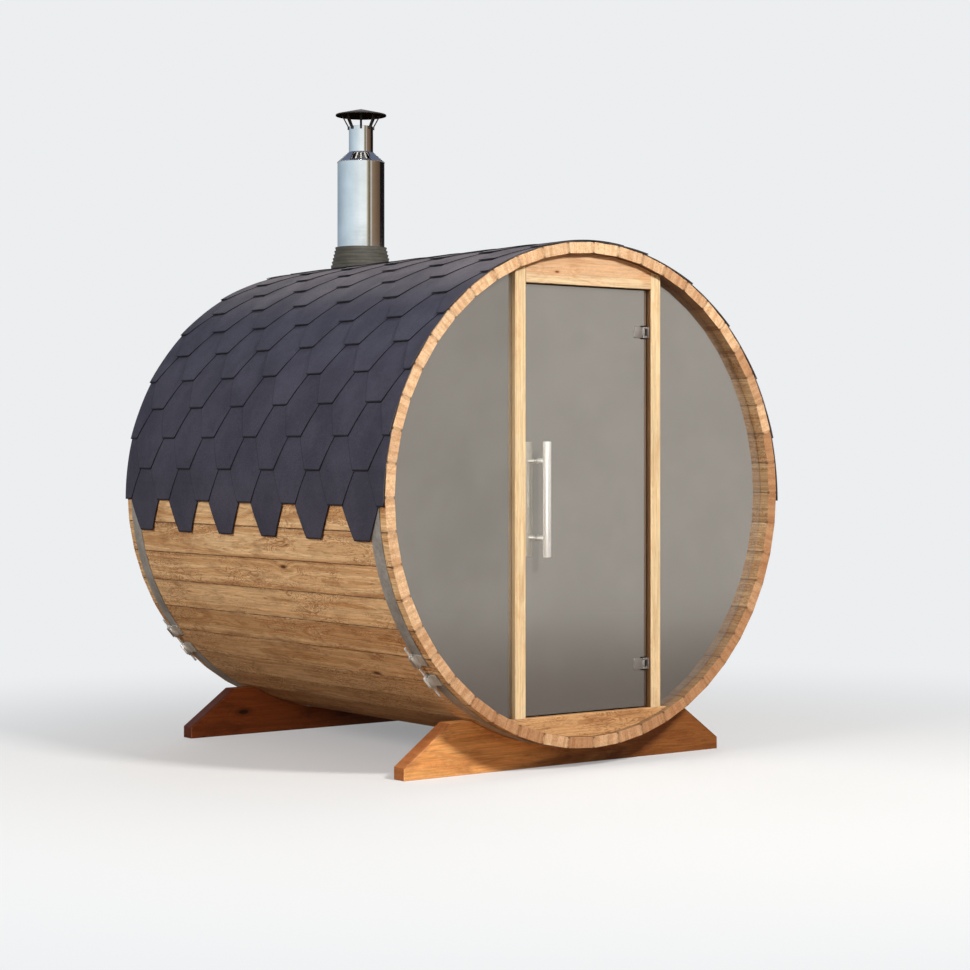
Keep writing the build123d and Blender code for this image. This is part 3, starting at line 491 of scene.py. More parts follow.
for node, bar_y, glass_y in (("handle_outer", -0.2015, -0.142), ("handle_inner", -0.0745, -0.134)):
    bm = bmesh.new()
    round_bar(bm, bar_radius, bar_length, Matrix.Translation((handle_x, bar_y, handle_middle)), 48)
    ease(bm, [e for e in bm.edges if abs(abs(e.verts[0].co.z - handle_middle) - bar_length / 2) < 1e-5
              and abs(e.verts[0].co.z - e.verts[1].co.z) < 1e-5], 0.0018, 3)
    laid_back = Matrix.Rotation(math.pi / 2, 4, "X")
    for step in (-fixing_offset, fixing_offset):
        middle = Vector((handle_x, (bar_y + glass_y) / 2, handle_middle + step))
        round_bar(bm, standoff_radius, abs(bar_y - glass_y), Matrix.Translation(middle) @ laid_back)
        middle.y = glass_y + math.copysign(0.0012, bar_y - glass_y)
        round_bar(bm, collar_radius, collar_depth, Matrix.Translation(middle) @ laid_back)
    fitted(f"steel_{node}", bm, "door", [drawn_bar], [node], smooth=38)


# Cradles: one stained plank each, hollowed to the barrel's round and sloped down to blunt
# ends. Their sawn edges are eased and stand under the hoops' inner sides.
# Painted shade on the front plank, darker towards its right end.
stained_plank = timber("stained plank", (248, 186, 115), (226, 154, 88), (160, 94, 48), (66, 32, 18), (172, 108, 62),
                       mottling=0.45, roughness=0.5, ring_width=0.0042, knots=0.86, curls=0.25,
                       deeper=(0, -0.35, 0.40, (0.32, 0.23, 0.15)))
# Painted shade: the rear plank is the same stained wood, painted much darker and more red, as if under the barrel.
shade_painted_plank = timber("stained plank in painted shade", (156, 82, 36), (130, 62, 24), (86, 38, 14), (44, 18, 8), (88, 42, 26),
                    mottling=0.5, roughness=0.5, ring_width=0.0042, knots=0.86, curls=0.25)
for place, stained in (("front", stained_plank), ("rear", shade_painted_plank)):
    bm = welded(f"cradle_{place}")
    ease(bm, corners(bm, 0.7), 0.0018)
    for board in boards_of(bm):
        lay_grain(bm, board, Vector((0, middle_of(board).y, 0.1)), Vector((1, 0, 0)), Vector((0, -1, 0)),
                  tree_side=0.12, spread=0.06, tone_and_shade_bias=0.2)
    for face in bm.faces:
        if face.normal.z > 0.4 and abs(face.normal.x) > 0.3:
            face[bm.faces.layers.float["sawn_end_and_side_shade"]] = 1.0
    fitted(f"sawn_cradle_{place}", bm, "sauna", [stained], [f"cradle_{place}"])


# Hoops: bands of galvanised strip, 66 by 1.2 mm, bent round the staves and under the felt.
# A plate with a folded channel is welded to each end, and a threaded rod with two nuts
# draws the two together low on the left side.
def galvanised(name):
    finish, tree, shader = new_finish(name)
    place = on_piece(tree)
    flakes = wire(tree, "TexVoronoi", {"Vector": place, "Scale": 95.0}).outputs["Color"]
    flake = wire(tree, "SeparateColor", {0: flakes}).outputs
    film = cloud(tree, place, 6.0, 4.0, 0.6)[0]
    zinc = tint(tree, rise(tree, flake[0], 0.0, 1.0), colour(168, 168, 165), colour(184, 183, 179))
    zinc = tint(tree, rise(tree, film, 0.42, 0.7, 0.0, 0.6), zinc, colour(120, 114, 106))
    tree.links.new(zinc, shader.inputs["Base Color"])
    rough = calc(tree, "ADD", rise(tree, flake[1], 0.0, 1.0, 0.34, 0.46), rise(tree, film, 0.4, 0.8, 0.0, 0.14))
    tree.links.new(rough, shader.inputs["Roughness"])
    shader.inputs["Metallic"].default_value = 0.45
    relief(tree, shader, 0.2, 0.0003, flake[0])
    return finish


zinc = galvanised("galvanised strip")
hoop_inner, hoop_outer, hoop_width = 1.00019, 1.00139, 0.066
tension_angle, hoop_break = math.radians(-130.8), 0.045
half_break = hoop_break / 2 / hoop_inner
for name, start in (("front", -0.152), ("rear", 1.706)):
    bm = bmesh.new()
    spot = tension_angle + half_break
    ray = Vector((math.sin(spot), 0, math.cos(spot)))
    end = start + hoop_width
    section = [(hoop_inner, start), (hoop_outer, start), (hoop_outer, end), (hoop_inner, end)]
    points = [bm.verts.new(barrel_axis + ray * radius + Vector((0, y, 0))) for radius, y in section]
    strip = bm.faces.new(points)
    bmesh.ops.spin(bm, geom=[strip, *strip.edges, *points], cent=barrel_axis, axis=(0, 1, 0),
                   angle=2 * math.pi - 2 * half_break, steps=192)
    bmesh.ops.remove_doubles(bm, verts=bm.verts, dist=1e-6)
    fitted(f"strip_hoop_{name}", bm, "sauna", [zinc], [f"hoop_{name}"], smooth=38)

bm = welded("hoop_lugs", wood=False)
ease(bm, corners(bm, 1.0), 0.0005, 1)
plated = steel("plated lug", colour(206, 200, 190), 0.36, 0.08, (90.0, 90.0, 90.0), scratch=0.1, metal=0.5)
bright_zinc = steel("bright zinc", colour(244, 245, 244), 0.22, 0.05, (160.0, 160.0, 160.0), scratch=0.1, metal=0.35)
fitted("folded_lugs", bm, "sauna", [plated], ["hoop_lugs"], smooth=38)

rod_length, thread_pitch, rod_radius, core_radius, rod_height = 0.250, 0.0015, 0.0050, 0.0042, 0.0125
lug_outer_end, nut_radius, nut_height = 0.078, 0.0085 / math.cos(math.pi / 6), 0.008
for name, channel_y in (("front", -0.101), ("rear", 1.757)):
    bm = bmesh.new()
    turns = int(rod_length / thread_pitch) + 2
    outline = [(core_radius, 0), (rod_radius, 0.35 * thread_pitch), (rod_radius, 0.5 * thread_pitch),
               (core_radius, 0.85 * thread_pitch), (core_radius, thread_pitch)]
    bottom = -rod_length / 2 - thread_pitch
    points = [bm.verts.new((radius, 0, bottom + height)) for radius, height in outline]
    flank = [bm.edges.new(pair) for pair in zip(points, points[1:])]
    bmesh.ops.spin(bm, geom=[*points, *flank], cent=(0, 0, 0), axis=(0, 0, 1), dvec=(0, 0, thread_pitch / 10),
                   angle=2 * math.pi * turns, steps=10 * turns)
    bmesh.ops.remove_doubles(bm, verts=bm.verts, dist=2e-5)
    for end in (-1, 1):
        cut = bmesh.ops.bisect_plane(bm, geom=[*bm.verts, *bm.edges, *bm.faces], dist=1e-7,
                                     plane_co=(0, 0, end * rod_length / 2), plane_no=(0, 0, end), clear_outer=True)
        bmesh.ops.edgenet_fill(bm, edges=[e for e in cut["geom_cut"] if isinstance(e, bmesh.types.BMEdge)])
    for side in (-1, 1):
        place = Matrix.Translation((0, 0, side * (lug_outer_end + nut_height / 2)))
        nut = bmesh.ops.create_cone(bm, cap_ends=True, segments=6, radius1=nut_radius, radius2=nut_radius,
                                    depth=nut_height, matrix=place)
        ease(bm, list(dict.fromkeys(e for v in nut["verts"] for e in v.link_edges)), 0.0006, 2)
    ray = Vector((math.sin(tension_angle), 0, math.cos(tension_angle)))
    tangent = Vector((math.cos(tension_angle), 0, -math.sin(tension_angle)))
    turn = Matrix((tangent.cross(ray), ray, tangent)).transposed().to_4x4()
    seat = Matrix.Translation(barrel_axis + ray * (hoop_outer + rod_height) + Vector((0, channel_y, 0)))
    bmesh.ops.transform(bm, matrix=seat @ turn, verts=bm.verts)
    nodes = ["tension_rods"] if name == "front" else []
    fitted(f"threaded_rod_{name}", bm, "sauna", [bright_zinc], nodes, smooth=38)


# Roof: bitumen felt cut into strips of tabs, twelve courses up each side, nailed along
# their upper edges. Each course laps the one below by half and is shifted by half a tab,
# so that what shows is a run of hexagons, each with a soft shadow under its edge, cast
# by the lifted tips and deepened by painted shade.
felt_course, first_angle = math.radians(7.55), math.radians(99.5)
felt_radius, felt_thickness, rear_clearance = 1.0044, 0.0024, 2e-5
tab_pitch, tab_tip, tab_cut, first_tab = 0.3345, 0.103, 0.0905, 0.160
roofer = random.Random(12)


def felt(name, rim=False):
    """Bitumen felt under coloured mineral grit, with dust and painted sheen where it lies level and bare bitumen with
    painted shade along its tabs' edges; or its cut edge, black bitumen darkened further as painted shade, with
    painted light where it neither faces down nor lies at a tip.
    """
    finish, tree, shader = new_finish(name)
    place = on_piece(tree)
    grit = wire(tree, "TexVoronoi", {"Vector": place, "Scale": 620.0}).outputs
    grain = wire(tree, "SeparateColor", {0: grit["Color"]}).outputs
    drift = cloud(tree, place, 5.0, 5.0, 0.62)[0]
    patch = cloud(tree, place, 70.0, 3.0, 0.6)[0]
    dark, light = (colour(14, 13, 16), colour(22, 20, 24)) if rim else (colour(59, 59, 73), colour(72, 72, 87))
    coat = tint(tree, rise(tree, drift, 0.30, 0.72), dark, light)
    coat = tint(tree, rise(tree, patch, 0.35, 0.72, 0.0, 0.18), coat, colour(48, 46, 56))
    level = facing_up(tree)
    spot = split(tree, place)
    course = marked(tree, "course")
    around = calc(tree, "ARCTAN2", calc(tree, "ABSOLUTE", spot[0]), calc(tree, "SUBTRACT", spot[2], axis_height))
    up = calc(tree, "MULTIPLY_ADD", around, -1 / felt_course, first_angle / felt_course)
    up = calc(tree, "SUBTRACT", up, course)
    pitches = calc(tree, "MULTIPLY_ADD", spot[1], 1 / tab_pitch, 20.5 - (rim_front + first_tab) / tab_pitch)
    pitches = calc(tree, "FRACT", calc(tree, "MULTIPLY_ADD", course, -0.5, pitches))
    from_middle = times(tree, calc(tree, "ABSOLUTE", calc(tree, "SUBTRACT", pitches, 0.5)), tab_pitch)
    flare = (tab_pitch - tab_cut - tab_tip) / 2
    half = calc(tree, "MULTIPLY_ADD", calc(tree, "MINIMUM", up, 1.0), flare, tab_tip / 2)
    from_side = calc(tree, "MULTIPLY_ADD", patch, 0.004, calc(tree, "SUBTRACT", half, from_middle))
    from_tip = calc(tree, "MULTIPLY_ADD", patch, 0.004, times(tree, up, felt_course))
    # Dust with painted sheen where the felt lies level; on the cut edge, painted light except where it faces down or
    # lies at a tip.
    dust_and_sheen = times(tree, rise(tree, level, 0.72, 0.99), rise(tree, drift, 0.2, 0.8, 0.35, 0.75))
    if rim:
        dust_and_sheen = times(tree, rise(tree, level, -0.35, 0.25, 0.0, 0.95), rise(tree, from_tip, 0.005, 0.010))
    coat = tint(tree, dust_and_sheen, coat, colour(112, 106, 110) if rim else colour(142, 134, 136))
    # Dark along the tabs' cut edges: bare bitumen with painted shade, strongest at the tips and fading on the sides
    # where the felt lies level.
    sides = times(tree, rise(tree, from_side, 0.0070, 0.0025), rise(tree, level, 0.45, 0.85, 0.60, 0.0))
    wear_and_shade = calc(tree, "MAXIMUM", sides, rise(tree, from_tip, 0.0100, 0.0042, 0.0, 0.90))
    coat = tint(tree, times(tree, wear_and_shade, calc(tree, "LESS_THAN", course, 50.0)), coat, colour(20, 18, 22))
    tab = calc(tree, "MULTIPLY_ADD", marked(tree, "tab_tone"), 0.10, 0.95)
    speck = times(tree, rise(tree, grain[0], 0.0, 1.0, 0.74, 1.26), tab)
    coat = tint(tree, 1.0, coat, wire(tree, "CombineColor", {0: speck, 1: speck, 2: speck}).outputs[0], "MULTIPLY")
    tree.links.new(coat, shader.inputs["Base Color"])
    tree.links.new(rise(tree, grain[1], 0.0, 1.0, 0.78, 0.95), shader.inputs["Roughness"])
    shader.inputs["Specular IOR Level"].default_value = 0.35
    relief(tree, shader, 0.6, 0.0012, calc(tree, "MULTIPLY_ADD", patch, 0.6, grit["Distance"]))
    return finish


grit_felt, cut_felt = felt("grit felt"), felt("cut felt edge", rim=True)


def bare_sheet():
    bm = bmesh.new()
    bm.faces.layers.float.new("tab_tone")
    bm.faces.layers.float.new("course")
    return bm


def strip_of_tabs(offset, top):
    """Flat strip: tabs below, whole felt above. X runs along the barrel, Y up the strip in courses."""
    bm = bare_sheet()
    root = tab_pitch - tab_cut
    cell = [(-tab_tip / 2, 0), (tab_tip / 2, 0), (root / 2, 1), (tab_pitch / 2, 1), (tab_pitch / 2, top),
            (-tab_pitch / 2, top), (-tab_pitch / 2, 1), (-root / 2, 1)]
    for k in range(-1, 8):
        middle = rim_front + first_tab + (k + offset) * tab_pitch
        bm.faces.new([bm.verts.new((middle + x, y, 0)) for x, y in cell])
    bmesh.ops.remove_doubles(bm, verts=bm.verts, dist=1e-5)
    for end, way in ((rim_front, -1), (rim_rear - rear_clearance, 1)):
        bmesh.ops.bisect_plane(bm, geom=[*bm.verts, *bm.edges, *bm.faces], dist=1e-6, plane_co=(end, 0, 0),
                               plane_no=(way, 0, 0), clear_outer=True)
    rows = 16
    for row in range(1, rows):
        bmesh.ops.bisect_plane(bm, geom=[*bm.verts, *bm.edges, *bm.faces], dist=1e-6,
                               plane_co=(0, top * row / rows, 0), plane_no=(0, 1, 0))
    return bm


def add_to(sheet, piece):
    """Joins one strip or ridge piece to a sheet, soft inside its edges and sharp at them."""
    for face in piece.faces:
        face.smooth = True
    for edge in piece.edges:
        edge.smooth = not edge.is_boundary
    mesh = bpy.data.meshes.new("piece")
    piece.to_mesh(mesh)
    piece.free()
    sheet.from_mesh(mesh)
    bpy.data.meshes.remove(mesh)


def thicken(made, thickness):
    solid = made.modifiers.new("thickness", "SOLIDIFY")
    solid.thickness = thickness
    solid.offset = -1
    solid.material_offset_rim = 1


def laid(name, sheet, node):
    """Felt on the roof: grit side out, with its thickness and its dark cut edges."""
    for face in sheet.faces:
        face.normal_update()
        if face.normal.dot(face.calc_center_median() - barrel_axis) < 0:
            face.normal_flip()
    mesh = bpy.data.meshes.new(name)
    sheet.to_mesh(mesh)
    sheet.free()
    mesh.materials.append(grit_felt)
    mesh.materials.append(cut_felt)
    felted = bpy.data.objects.new(name, mesh)
    scene.collection.objects.link(felted)
    thicken(felted, felt_thickness)
    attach(felted, "sauna")
    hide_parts(node)


tab_lift, first_tab_lift, tuck, curl_up = 0.0046, 0.0036, 0.0024, 0.0007
for side, hand in (("left", -1), ("right", 1)):
    for level, first in (("lower", 0), ("upper", 6)):
        sheet = bare_sheet()
        for k in range(first, first + 6):
            offset = 0.5 * (k % 2)
            strip = strip_of_tabs(offset, 2.08)
            tone, course_number = strip.faces.layers.float["tab_tone"], strip.faces.layers.float["course"]
            lifts = {n: roofer.uniform(0, curl_up) for n in range(-2, 10)}
            tones = {n: roofer.random() for n in range(-2, 10)}
            for face in strip.faces:
                face[tone] = tones[round((face.calc_center_median().x - rim_front - first_tab) / tab_pitch - offset)]
                face[course_number] = k
            for v in strip.verts:
                along, up = v.co.x, v.co.y
                tab = round((along - rim_front - first_tab) / tab_pitch - offset)
                free = max(0, 1 - up)
                lift = 0.0006 + (tab_lift if k > 1 else first_tab_lift) * free - tuck * max(0, up - 1)
                radius = felt_radius + lift + lifts[tab] * free ** 2
                angle = hand * (first_angle - (k + up) * felt_course)
                v.co = barrel_axis + Vector((radius * math.sin(angle), along, radius * math.cos(angle)))
            add_to(sheet, strip)
        laid(f"tabbed_felt_{side}_{level}", sheet, f"felt_{side}_{level}")


# Ridge: eight pieces of the same felt bent over the top, each lapping the next one back
# by 50 mm, over the last course of both sides, and cut round the flue.
ridge_count, ridge_half, ridge_length, ridge_lap = 8, math.radians(8.95), 0.250, 0.050
flue_centre, flue_hole = Vector((0, 1.460, 0)), 0.085
ridge = bare_sheet()
for k in range(ridge_count):
    start = rim_front + k * ridge_length
    cap = bare_sheet()
    tone, course_number = cap.faces.layers.float["tab_tone"], cap.faces.layers.float["course"]
    bmesh.ops.create_grid(cap, x_segments=12, y_segments=6, size=1.0)
    length = ridge_length + (ridge_lap if k < ridge_count - 1 else 0)
    front_lift, slope = (0.0032, 0.0002) if k == 0 else (0.0056, 0.0024)
    shade = roofer.random()
    for face in cap.faces:
        face[tone] = shade
        face[course_number] = 100
    for v in cap.verts:
        back = (v.co.y + 1) / 2
        angle = v.co.x * ridge_half
        radius = felt_radius + front_lift - slope * back * length / ridge_length
        along = min(start + back * length, rim_rear - rear_clearance)
        v.co = barrel_axis + Vector((radius * math.sin(angle), along, radius * math.cos(angle)))
    add_to(ridge, cap)
bmesh.ops.delete(ridge, context="FACES", geom=[
    f for f in ridge.faces if (f.calc_center_median() - flue_centre).to_2d().length < flue_hole])
laid("ridge_felt", ridge, "felt_ridge")


# Flue: a wide polished pipe through the roof round a narrow one, closed by a cone with
# four groups of vents, all rolled from 1.5 mm stainless sheet. Eight bent struts carry a
# shallow rain cap, and a stepped rubber boot seals the pipe to the ridge.
flue_turn = math.radians(56.2)


def rolled(profile, steps=96):
    """Sheet or wall turned about the flue's axis from points of radius and height."""
    bm = bmesh.new()
    points = [bm.verts.new((radius, 0, height)) for radius, height in profile]
    edges = [bm.edges.new(pair) for pair in zip(points, points[1:])]
    bmesh.ops.rotate(bm, verts=bm.verts, cent=(0, 0, 0), matrix=Matrix.Rotation(flue_turn, 3, "Z"))
    bmesh.ops.spin(bm, geom=[*points, *edges], cent=(0, 0, 0), axis=(0, 0, 1), angle=2 * math.pi, steps=steps,
                   use_merge=True)
    bmesh.ops.remove_doubles(bm, verts=bm.verts, dist=1e-6)
    bmesh.ops.recalc_face_normals(bm, faces=bm.faces)
    bmesh.ops.translate(bm, verts=bm.verts, vec=flue_centre)
    return bm


outer, inner, fit, sheet = 0.1065, 0.0550, 0.0002, 0.0015
pipe_foot, shoulder, cone_top, liner_top = 1.97986, 2.565, 2.611, 2.727
brushed_round = (10.0, 10.0, 220.0)
polished = steel("polished steel", colour(240, 241, 242), 0.08, 0.02, brushed_round, scratch=0.02)
# The cap and struts take smoke stain with painted shade on their lower faces; the narrow pipe takes painted shade
# where it stands inside the cone.
sooty_shaded = steel("sooty steel", colour(196, 184, 172), 0.24, 0.05, (60.0, 60.0, 60.0), scratch=0.1, soot_and_shade=colour(8, 7, 9))
lined = steel("lined steel", colour(240, 241, 242), 0.08, 0.02, brushed_round, scratch=0.02, soot_and_shade=colour(30, 29, 30),
              shade_height=cone_top - 0.002)
bm = rolled([(inner + fit, pipe_foot), (outer - 0.001, pipe_foot), (outer, pipe_foot + 0.001), (outer, shoulder),
             (outer - sheet, shoulder), (outer - sheet, pipe_foot + sheet), (inner + fit, pipe_foot + sheet),
             (inner + fit, pipe_foot)])
fitted("wide_pipe", bm, "sauna", [polished], ["flue_outer_pipe"], smooth=38)
bm = rolled([(inner - sheet, pipe_foot), (inner, pipe_foot), (inner, liner_top - 0.0006), (inner - 0.0006, liner_top),
             (inner - sheet, liner_top), (inner - sheet, pipe_foot)])
fitted("narrow_pipe", bm, "sauna", [lined], ["flue_inner_pipe"], smooth=38)

cone_foot, cone_neck = outer + fit + sheet, inner + fit + sheet
slope = (cone_neck - cone_foot) / (cone_top - shoulder)
vent_low, vent_high, vent_step, vent_half_width = shoulder + 0.006, cone_top - 0.006, 6.75, 4.8
bm = rolled([(cone_foot, shoulder - 0.002), (cone_foot, shoulder),
             (cone_foot + slope * (vent_low - shoulder), vent_low),
             (cone_foot + slope * (vent_high - shoulder), vent_high), (cone_neck, cone_top)], steps=180)
vents = []
for face in bm.faces:
    middle = face.calc_center_median() - flue_centre
    turn = (math.degrees(math.atan2(middle.y, middle.x) - flue_turn) + 45) % 90 - 45
    if vent_low < middle.z < vent_high and min(abs(turn - k * vent_step) for k in (-3, -1, 1, 3)) < vent_half_width:
        vents.append(face)
    elif vent_low < middle.z < vent_high and abs(turn) < 20:
        face.material_index = 1
bmesh.ops.delete(bm, geom=vents, context="FACES")
bar_steel = steel("bright bars", colour(240, 236, 228), 0.30, 0.05, (60.0, 60.0, 60.0), scratch=0.1, metal=0.2)
vented = fitted("vented_cone", bm, "sauna", [polished, bar_steel], ["flue_cone"], smooth=38)
thicken(vented, sheet)

cap_rim, cap_apex, cap_radius, cap_sheet = 2.781, 2.808, 0.115, 0.0020
bm = rolled([(0, cap_apex), (0.03, cap_apex - 0.0066), (cap_radius - 0.001, cap_rim + 0.0006),
             (cap_radius, cap_rim - 0.0004), (cap_radius, cap_rim - 0.005), (cap_radius - cap_sheet, cap_rim - 0.005),
             (cap_radius - cap_sheet, cap_rim - cap_sheet), (0, cap_apex - cap_sheet)])
fitted("rain_cap", bm, "sauna", [sooty_shaded], ["flue_rain_cap"], smooth=25)

bm = bmesh.new()
foot, strut_top, strut_half, strut_sheet = inner + 0.0002, 0.092, 0.005, 0.0055
cap_underside = cap_rim + (cap_radius - strut_top) * (cap_apex - cap_rim) / cap_radius - cap_sheet
side_points = [(foot, liner_top - 0.014), (foot + strut_sheet, liner_top - 0.014), (foot + strut_sheet, liner_top),
               (strut_top, cap_underside), (strut_top - strut_sheet, cap_underside), (foot, liner_top + 0.0008)]
for k in range(8):
    turned = Matrix.Rotation(flue_turn + k * math.pi / 4, 4, "Z")
    flat = bm.faces.new([bm.verts.new(turned @ Vector((r, -strut_half, z))) for r, z in side_points])
    pulled = bmesh.ops.extrude_face_region(bm, geom=[flat])
    bmesh.ops.translate(bm, verts=[v for v in pulled["geom"] if isinstance(v, bmesh.types.BMVert)],
                        vec=turned @ Vector((0, 2 * strut_half, 0)))
ease(bm, list(bm.edges), 0.0004, 1)
bmesh.ops.translate(bm, verts=bm.verts, vec=flue_centre)
fitted("cap_struts", bm, "sauna", [sooty_shaded], ["flue_struts"], smooth=38)


# Boot: moulded rubber in six steps that a roofer trims to the pipe, with an upright collar
# and a foot that follows the ridge.
boot_top, boot_low, boot_half, boot_neck, steps = 2.178, 2.080, 0.135, 0.11275, 6
step_height = (boot_top - boot_low) / steps


def rubber(name):
    finish, tree, shader = new_finish(name)
    place = on_piece(tree)
    bloom = streaks(tree, place, (12.0, 12.0, 60.0), 4.0, 0.6)
    grime = cloud(tree, place, 300.0, 2.0, 0.5)[0]
    skin = tint(tree, rise(tree, bloom, 0.35, 0.75), colour(70, 68, 60), colour(98, 95, 86))
    skin = tint(tree, rise(tree, grime, 0.5, 0.8, 0.0, 0.3), skin, colour(48, 46, 42))
    skin = tint(tree, rise(tree, facing_up(tree), 0.15, 0.7, 0.0, 0.55), skin, colour(58, 56, 50))
    # Painted shade: a darker band at the foot of each step's wall, just above the ledge below it.
    stepped = calc(tree, "MULTIPLY_ADD", split(tree, place)[2], 1 / step_height, 9.1 - boot_low / step_height)
    step = calc(tree, "FRACT", stepped)
    painted_step_shade = times(tree, rise(tree, step, 0.42, 0.12, 0.0, 0.75), rise(tree, step, 0.0, 0.10))
    skin = tint(tree, painted_step_shade, skin, colour(44, 42, 37))
    tree.links.new(skin, shader.inputs["Base Color"])
    tree.links.new(rise(tree, bloom, 0.3, 0.8, 0.5, 0.72), shader.inputs["Roughness"])
    relief(tree, shader, 0.3, 0.0006, grime)
    return finish


boot_inner, foot_low = boot_half - 0.004, boot_low - 0.003
profile = [(boot_inner, foot_low), (boot_half, foot_low)]
for k in range(steps):
    radius = boot_half + (boot_neck - boot_half) * k / steps
    if k:
        profile.append((radius - 0.0034, profile[-1][1] + 0.0003))
    profile.append((radius + 0.0010, boot_low + step_height * (k + 1)))
profile += [(outer + 0.0004, boot_top), (outer + 0.0004, boot_top - 0.016), (boot_inner, foot_low)]
bm = rolled(profile)
for v in bm.verts:
    if v.co.z < boot_low:
        v.co.z = axis_height + math.sqrt((felt_radius + 0.0026) ** 2 - v.co.x ** 2)
ease(bm, [e for e in corners(bm, 0.5) if all(v.co.z > boot_low for v in e.verts)], 0.0006, 2)
fitted("stepped_boot", bm, "sauna", [rubber("boot rubber")], ["flue_boot"], smooth=50)


# Studio: plain pale floor that runs into a pale background, one lamp high in front, weaker
# ones at the sides and behind, and even light all round. Glass and steel mirror a greyer
# surrounding, high banners and a low glint lamp, none of which the camera sees itself.
backdrop_colour, mirrored_colour = colour(236, 238, 240), colour(165, 162, 157)


def looked_at(tree):
    """One for rays that show a thing to the camera, straight or through glass, and one for those that mirror it."""
    rays = wire(tree, "LightPath").outputs
    return calc(tree, "MAXIMUM", rays["Is Camera Ray"], rays["Is Transmission Ray"]), rays["Is Glossy Ray"]


def staged(name, bm, cover):
    mesh = bpy.data.meshes.new(name)
    bm.to_mesh(mesh)
    bm.free()
    mesh.materials.append(cover)
    made = bpy.data.objects.new(name, mesh)
    scene.collection.objects.link(made)
    return made


def glowing(tree, *paints):
    return wire(tree, "Emission", {"Color": tint(tree, *paints), "Strength": 1.0}).outputs[0]


bm = bmesh.new()
bmesh.ops.create_circle(bm, cap_ends=True, segments=64, radius=60)
paper, tree, shader = new_finish("paper")
direct, glossy = looked_at(tree)
bounce = tint(tree, glossy, (0.31, 0.16, 0.06, 1), (0.20, 0.18, 0.165, 1))
tree.links.new(tint(tree, direct, bounce, (0.84, 0.835, 0.83, 1)), shader.inputs["Base Color"])
shader.inputs["Roughness"].default_value = 0.9
place = on_piece(tree)
level_place = shift(tree, "MULTIPLY", place, (1, 1, 0))
distance = wire(tree, "VectorMath", {0: level_place}, operation="LENGTH").outputs["Value"]
fade = times(tree, rise(tree, distance, 1.2, 4.8, 0.30, 1.0), direct)
fade = calc(tree, "MAXIMUM", fade, times(tree, rise(tree, distance, 1.8, 9.0), glossy))
glow = glowing(tree, glossy, backdrop_colour, mirrored_colour)
ground = wire(tree, "MixShader", {0: fade, 1: shader.outputs[0], 2: glow}).outputs[0]
tree.links.new(ground, tree.nodes["Material Output"].inputs["Surface"])
staged("studio_floor", bm, paper)

banner_foot, banner_top, banner_reach = 2.92, 9.0, 9.0
bm = bmesh.new()
bmesh.ops.create_cone(bm, cap_ends=True, segments=96, radius1=banner_reach, radius2=banner_reach,
                      depth=banner_top - banner_foot,
                      matrix=Matrix.Translation((0, flue_centre.y, (banner_top + banner_foot) / 2)))
bmesh.ops.delete(bm, geom=[f for f in bm.faces if f.calc_center_median().z < banner_foot + 0.01], context="FACES")
cloth, tree, shader = new_finish("banner cloth")
place = split(tree, shift(tree, "SUBTRACT", on_piece(tree), tuple(flue_centre)))
bearing = calc(tree, "MULTIPLY_ADD", calc(tree, "ARCTAN2", place[1], place[0]), 0.5 / math.pi, 0.5)
bands = wire(tree, "ValToRGB", {0: bearing})
stops = [(0.02, (212, 228, 237)), (0.15, (246, 254, 255)), (0.228, (250, 255, 255)), (0.240, (206, 196, 170)),
         (0.262, (120, 108, 86)), (0.282, (112, 102, 84)), (0.292, (204, 202, 194)), (0.300, (204, 202, 194)),
         (0.314, (146, 124, 102)), (0.38, (122, 98, 76)), (0.445, (98, 78, 62)), (0.458, (26, 22, 24)),
         (0.550, (26, 22, 24)), (0.60, (60, 62, 66)), (0.66, (140, 150, 158)), (0.80, (160, 178, 192)),
         (0.98, (207, 224, 234))]
ramp = bands.color_ramp.elements
for position, shade in stops[1:-1]:
    ramp.new(position).color = colour(*shade)
for end in (0, -1):
    ramp[end].position = stops[end][0]
    ramp[end].color = colour(*stops[end][1])
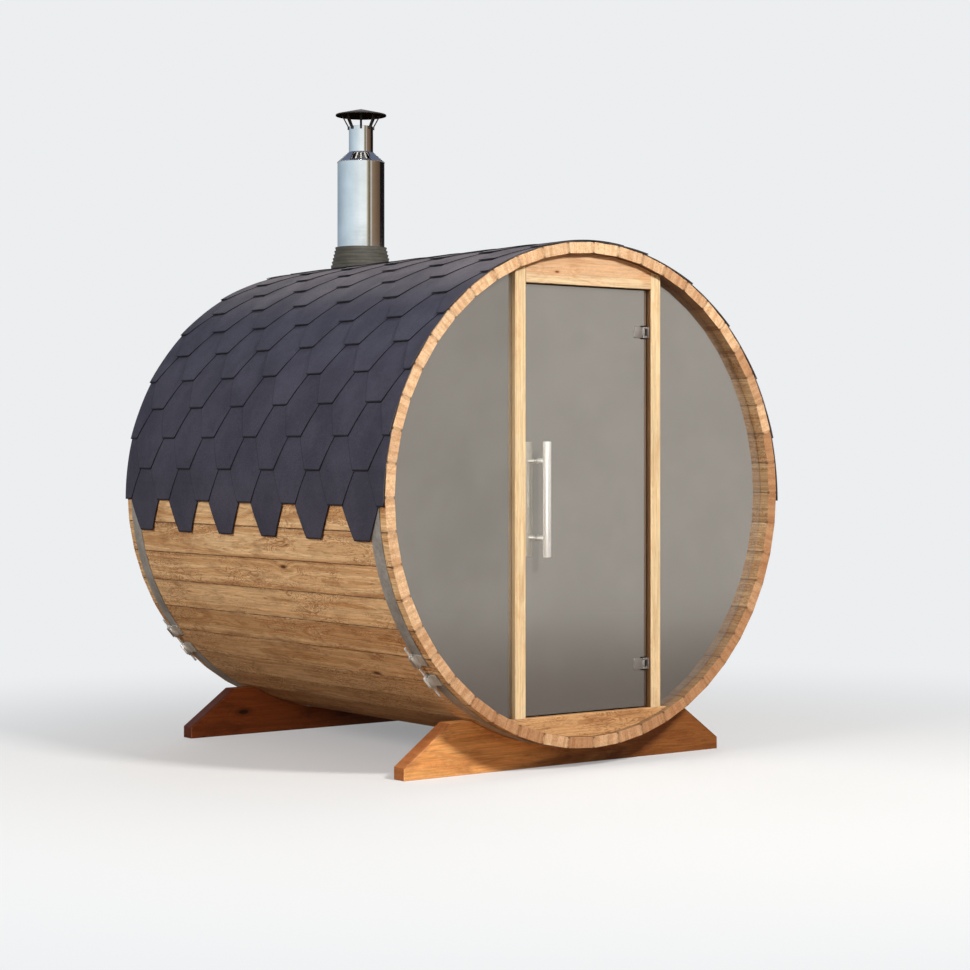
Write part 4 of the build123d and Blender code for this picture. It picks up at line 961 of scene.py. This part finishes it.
glow = glowing(tree, rise(tree, place[2], 4.6, 8.6), bands.outputs[0], colour(104, 112, 132))
tree.links.new(glow, tree.nodes["Material Output"].inputs["Surface"])
banners = staged("banners", bm, cloth)
banners.visible_camera = banners.visible_diffuse = banners.visible_transmission = banners.visible_shadow = False

world = bpy.data.worlds.new("studio")
world.use_nodes = True
scene.world = world
tree = world.node_tree
sky = tree.nodes["Background"]
sky.inputs["Color"].default_value = (0.90, 0.95, 1.0, 1)
sky.inputs["Strength"].default_value = 0.20
direct, glossy = looked_at(tree)
seen_colour = tint(tree, glossy, backdrop_colour, mirrored_colour)
seen = wire(tree, "Background", {"Color": seen_colour, "Strength": 1.0}).outputs[0]
mixed = wire(tree, "MixShader", {0: calc(tree, "MAXIMUM", direct, glossy), 1: sky.outputs[0], 2: seen}).outputs[0]
tree.links.new(mixed, tree.nodes["World Output"].inputs["Surface"])


def lamp(name, place, target, width, height, power, warmth, mirrored_too=True, lights_too=True):
    light = bpy.data.lights.new(name, "AREA")
    light.shape = "RECTANGLE"
    light.size, light.size_y = width, height
    light.energy = power
    light.color = warmth
    holder = bpy.data.objects.new(name, light)
    holder.location = place
    holder.rotation_euler = (Vector(target) - Vector(place)).to_track_quat("-Z", "Y").to_euler()
    holder.visible_glossy, holder.visible_diffuse = mirrored_too, lights_too
    scene.collection.objects.link(holder)


lamp("key", (1.0, -7.6, 7.0), (0, 0.6, 1.0), 1.3, 1.3, 900, (1.0, 0.965, 0.92))
lamp("side", (-8.2, -1.0, 3.9), (0, 0.8, 1.2), 3.6, 3.6, 440, (1.0, 0.98, 0.95), False)
lamp("fill", (6.5, -5.0, 3.5), (0, 0.6, 1.0), 4.0, 3.0, 30, (0.95, 0.97, 1.0), False)
lamp("back", (3.0, 7.5, 5.0), (0, 0.8, 1.6), 4.0, 2.5, 160, (1.0, 1.0, 1.0), False)
lamp("glint", (-5.2, -6.0, 0.9), (0, -0.2, 1.1), 1.6, 1.4, 160, (1.0, 1.0, 1.0), True, False)

scene.view_settings.view_transform = "Standard"
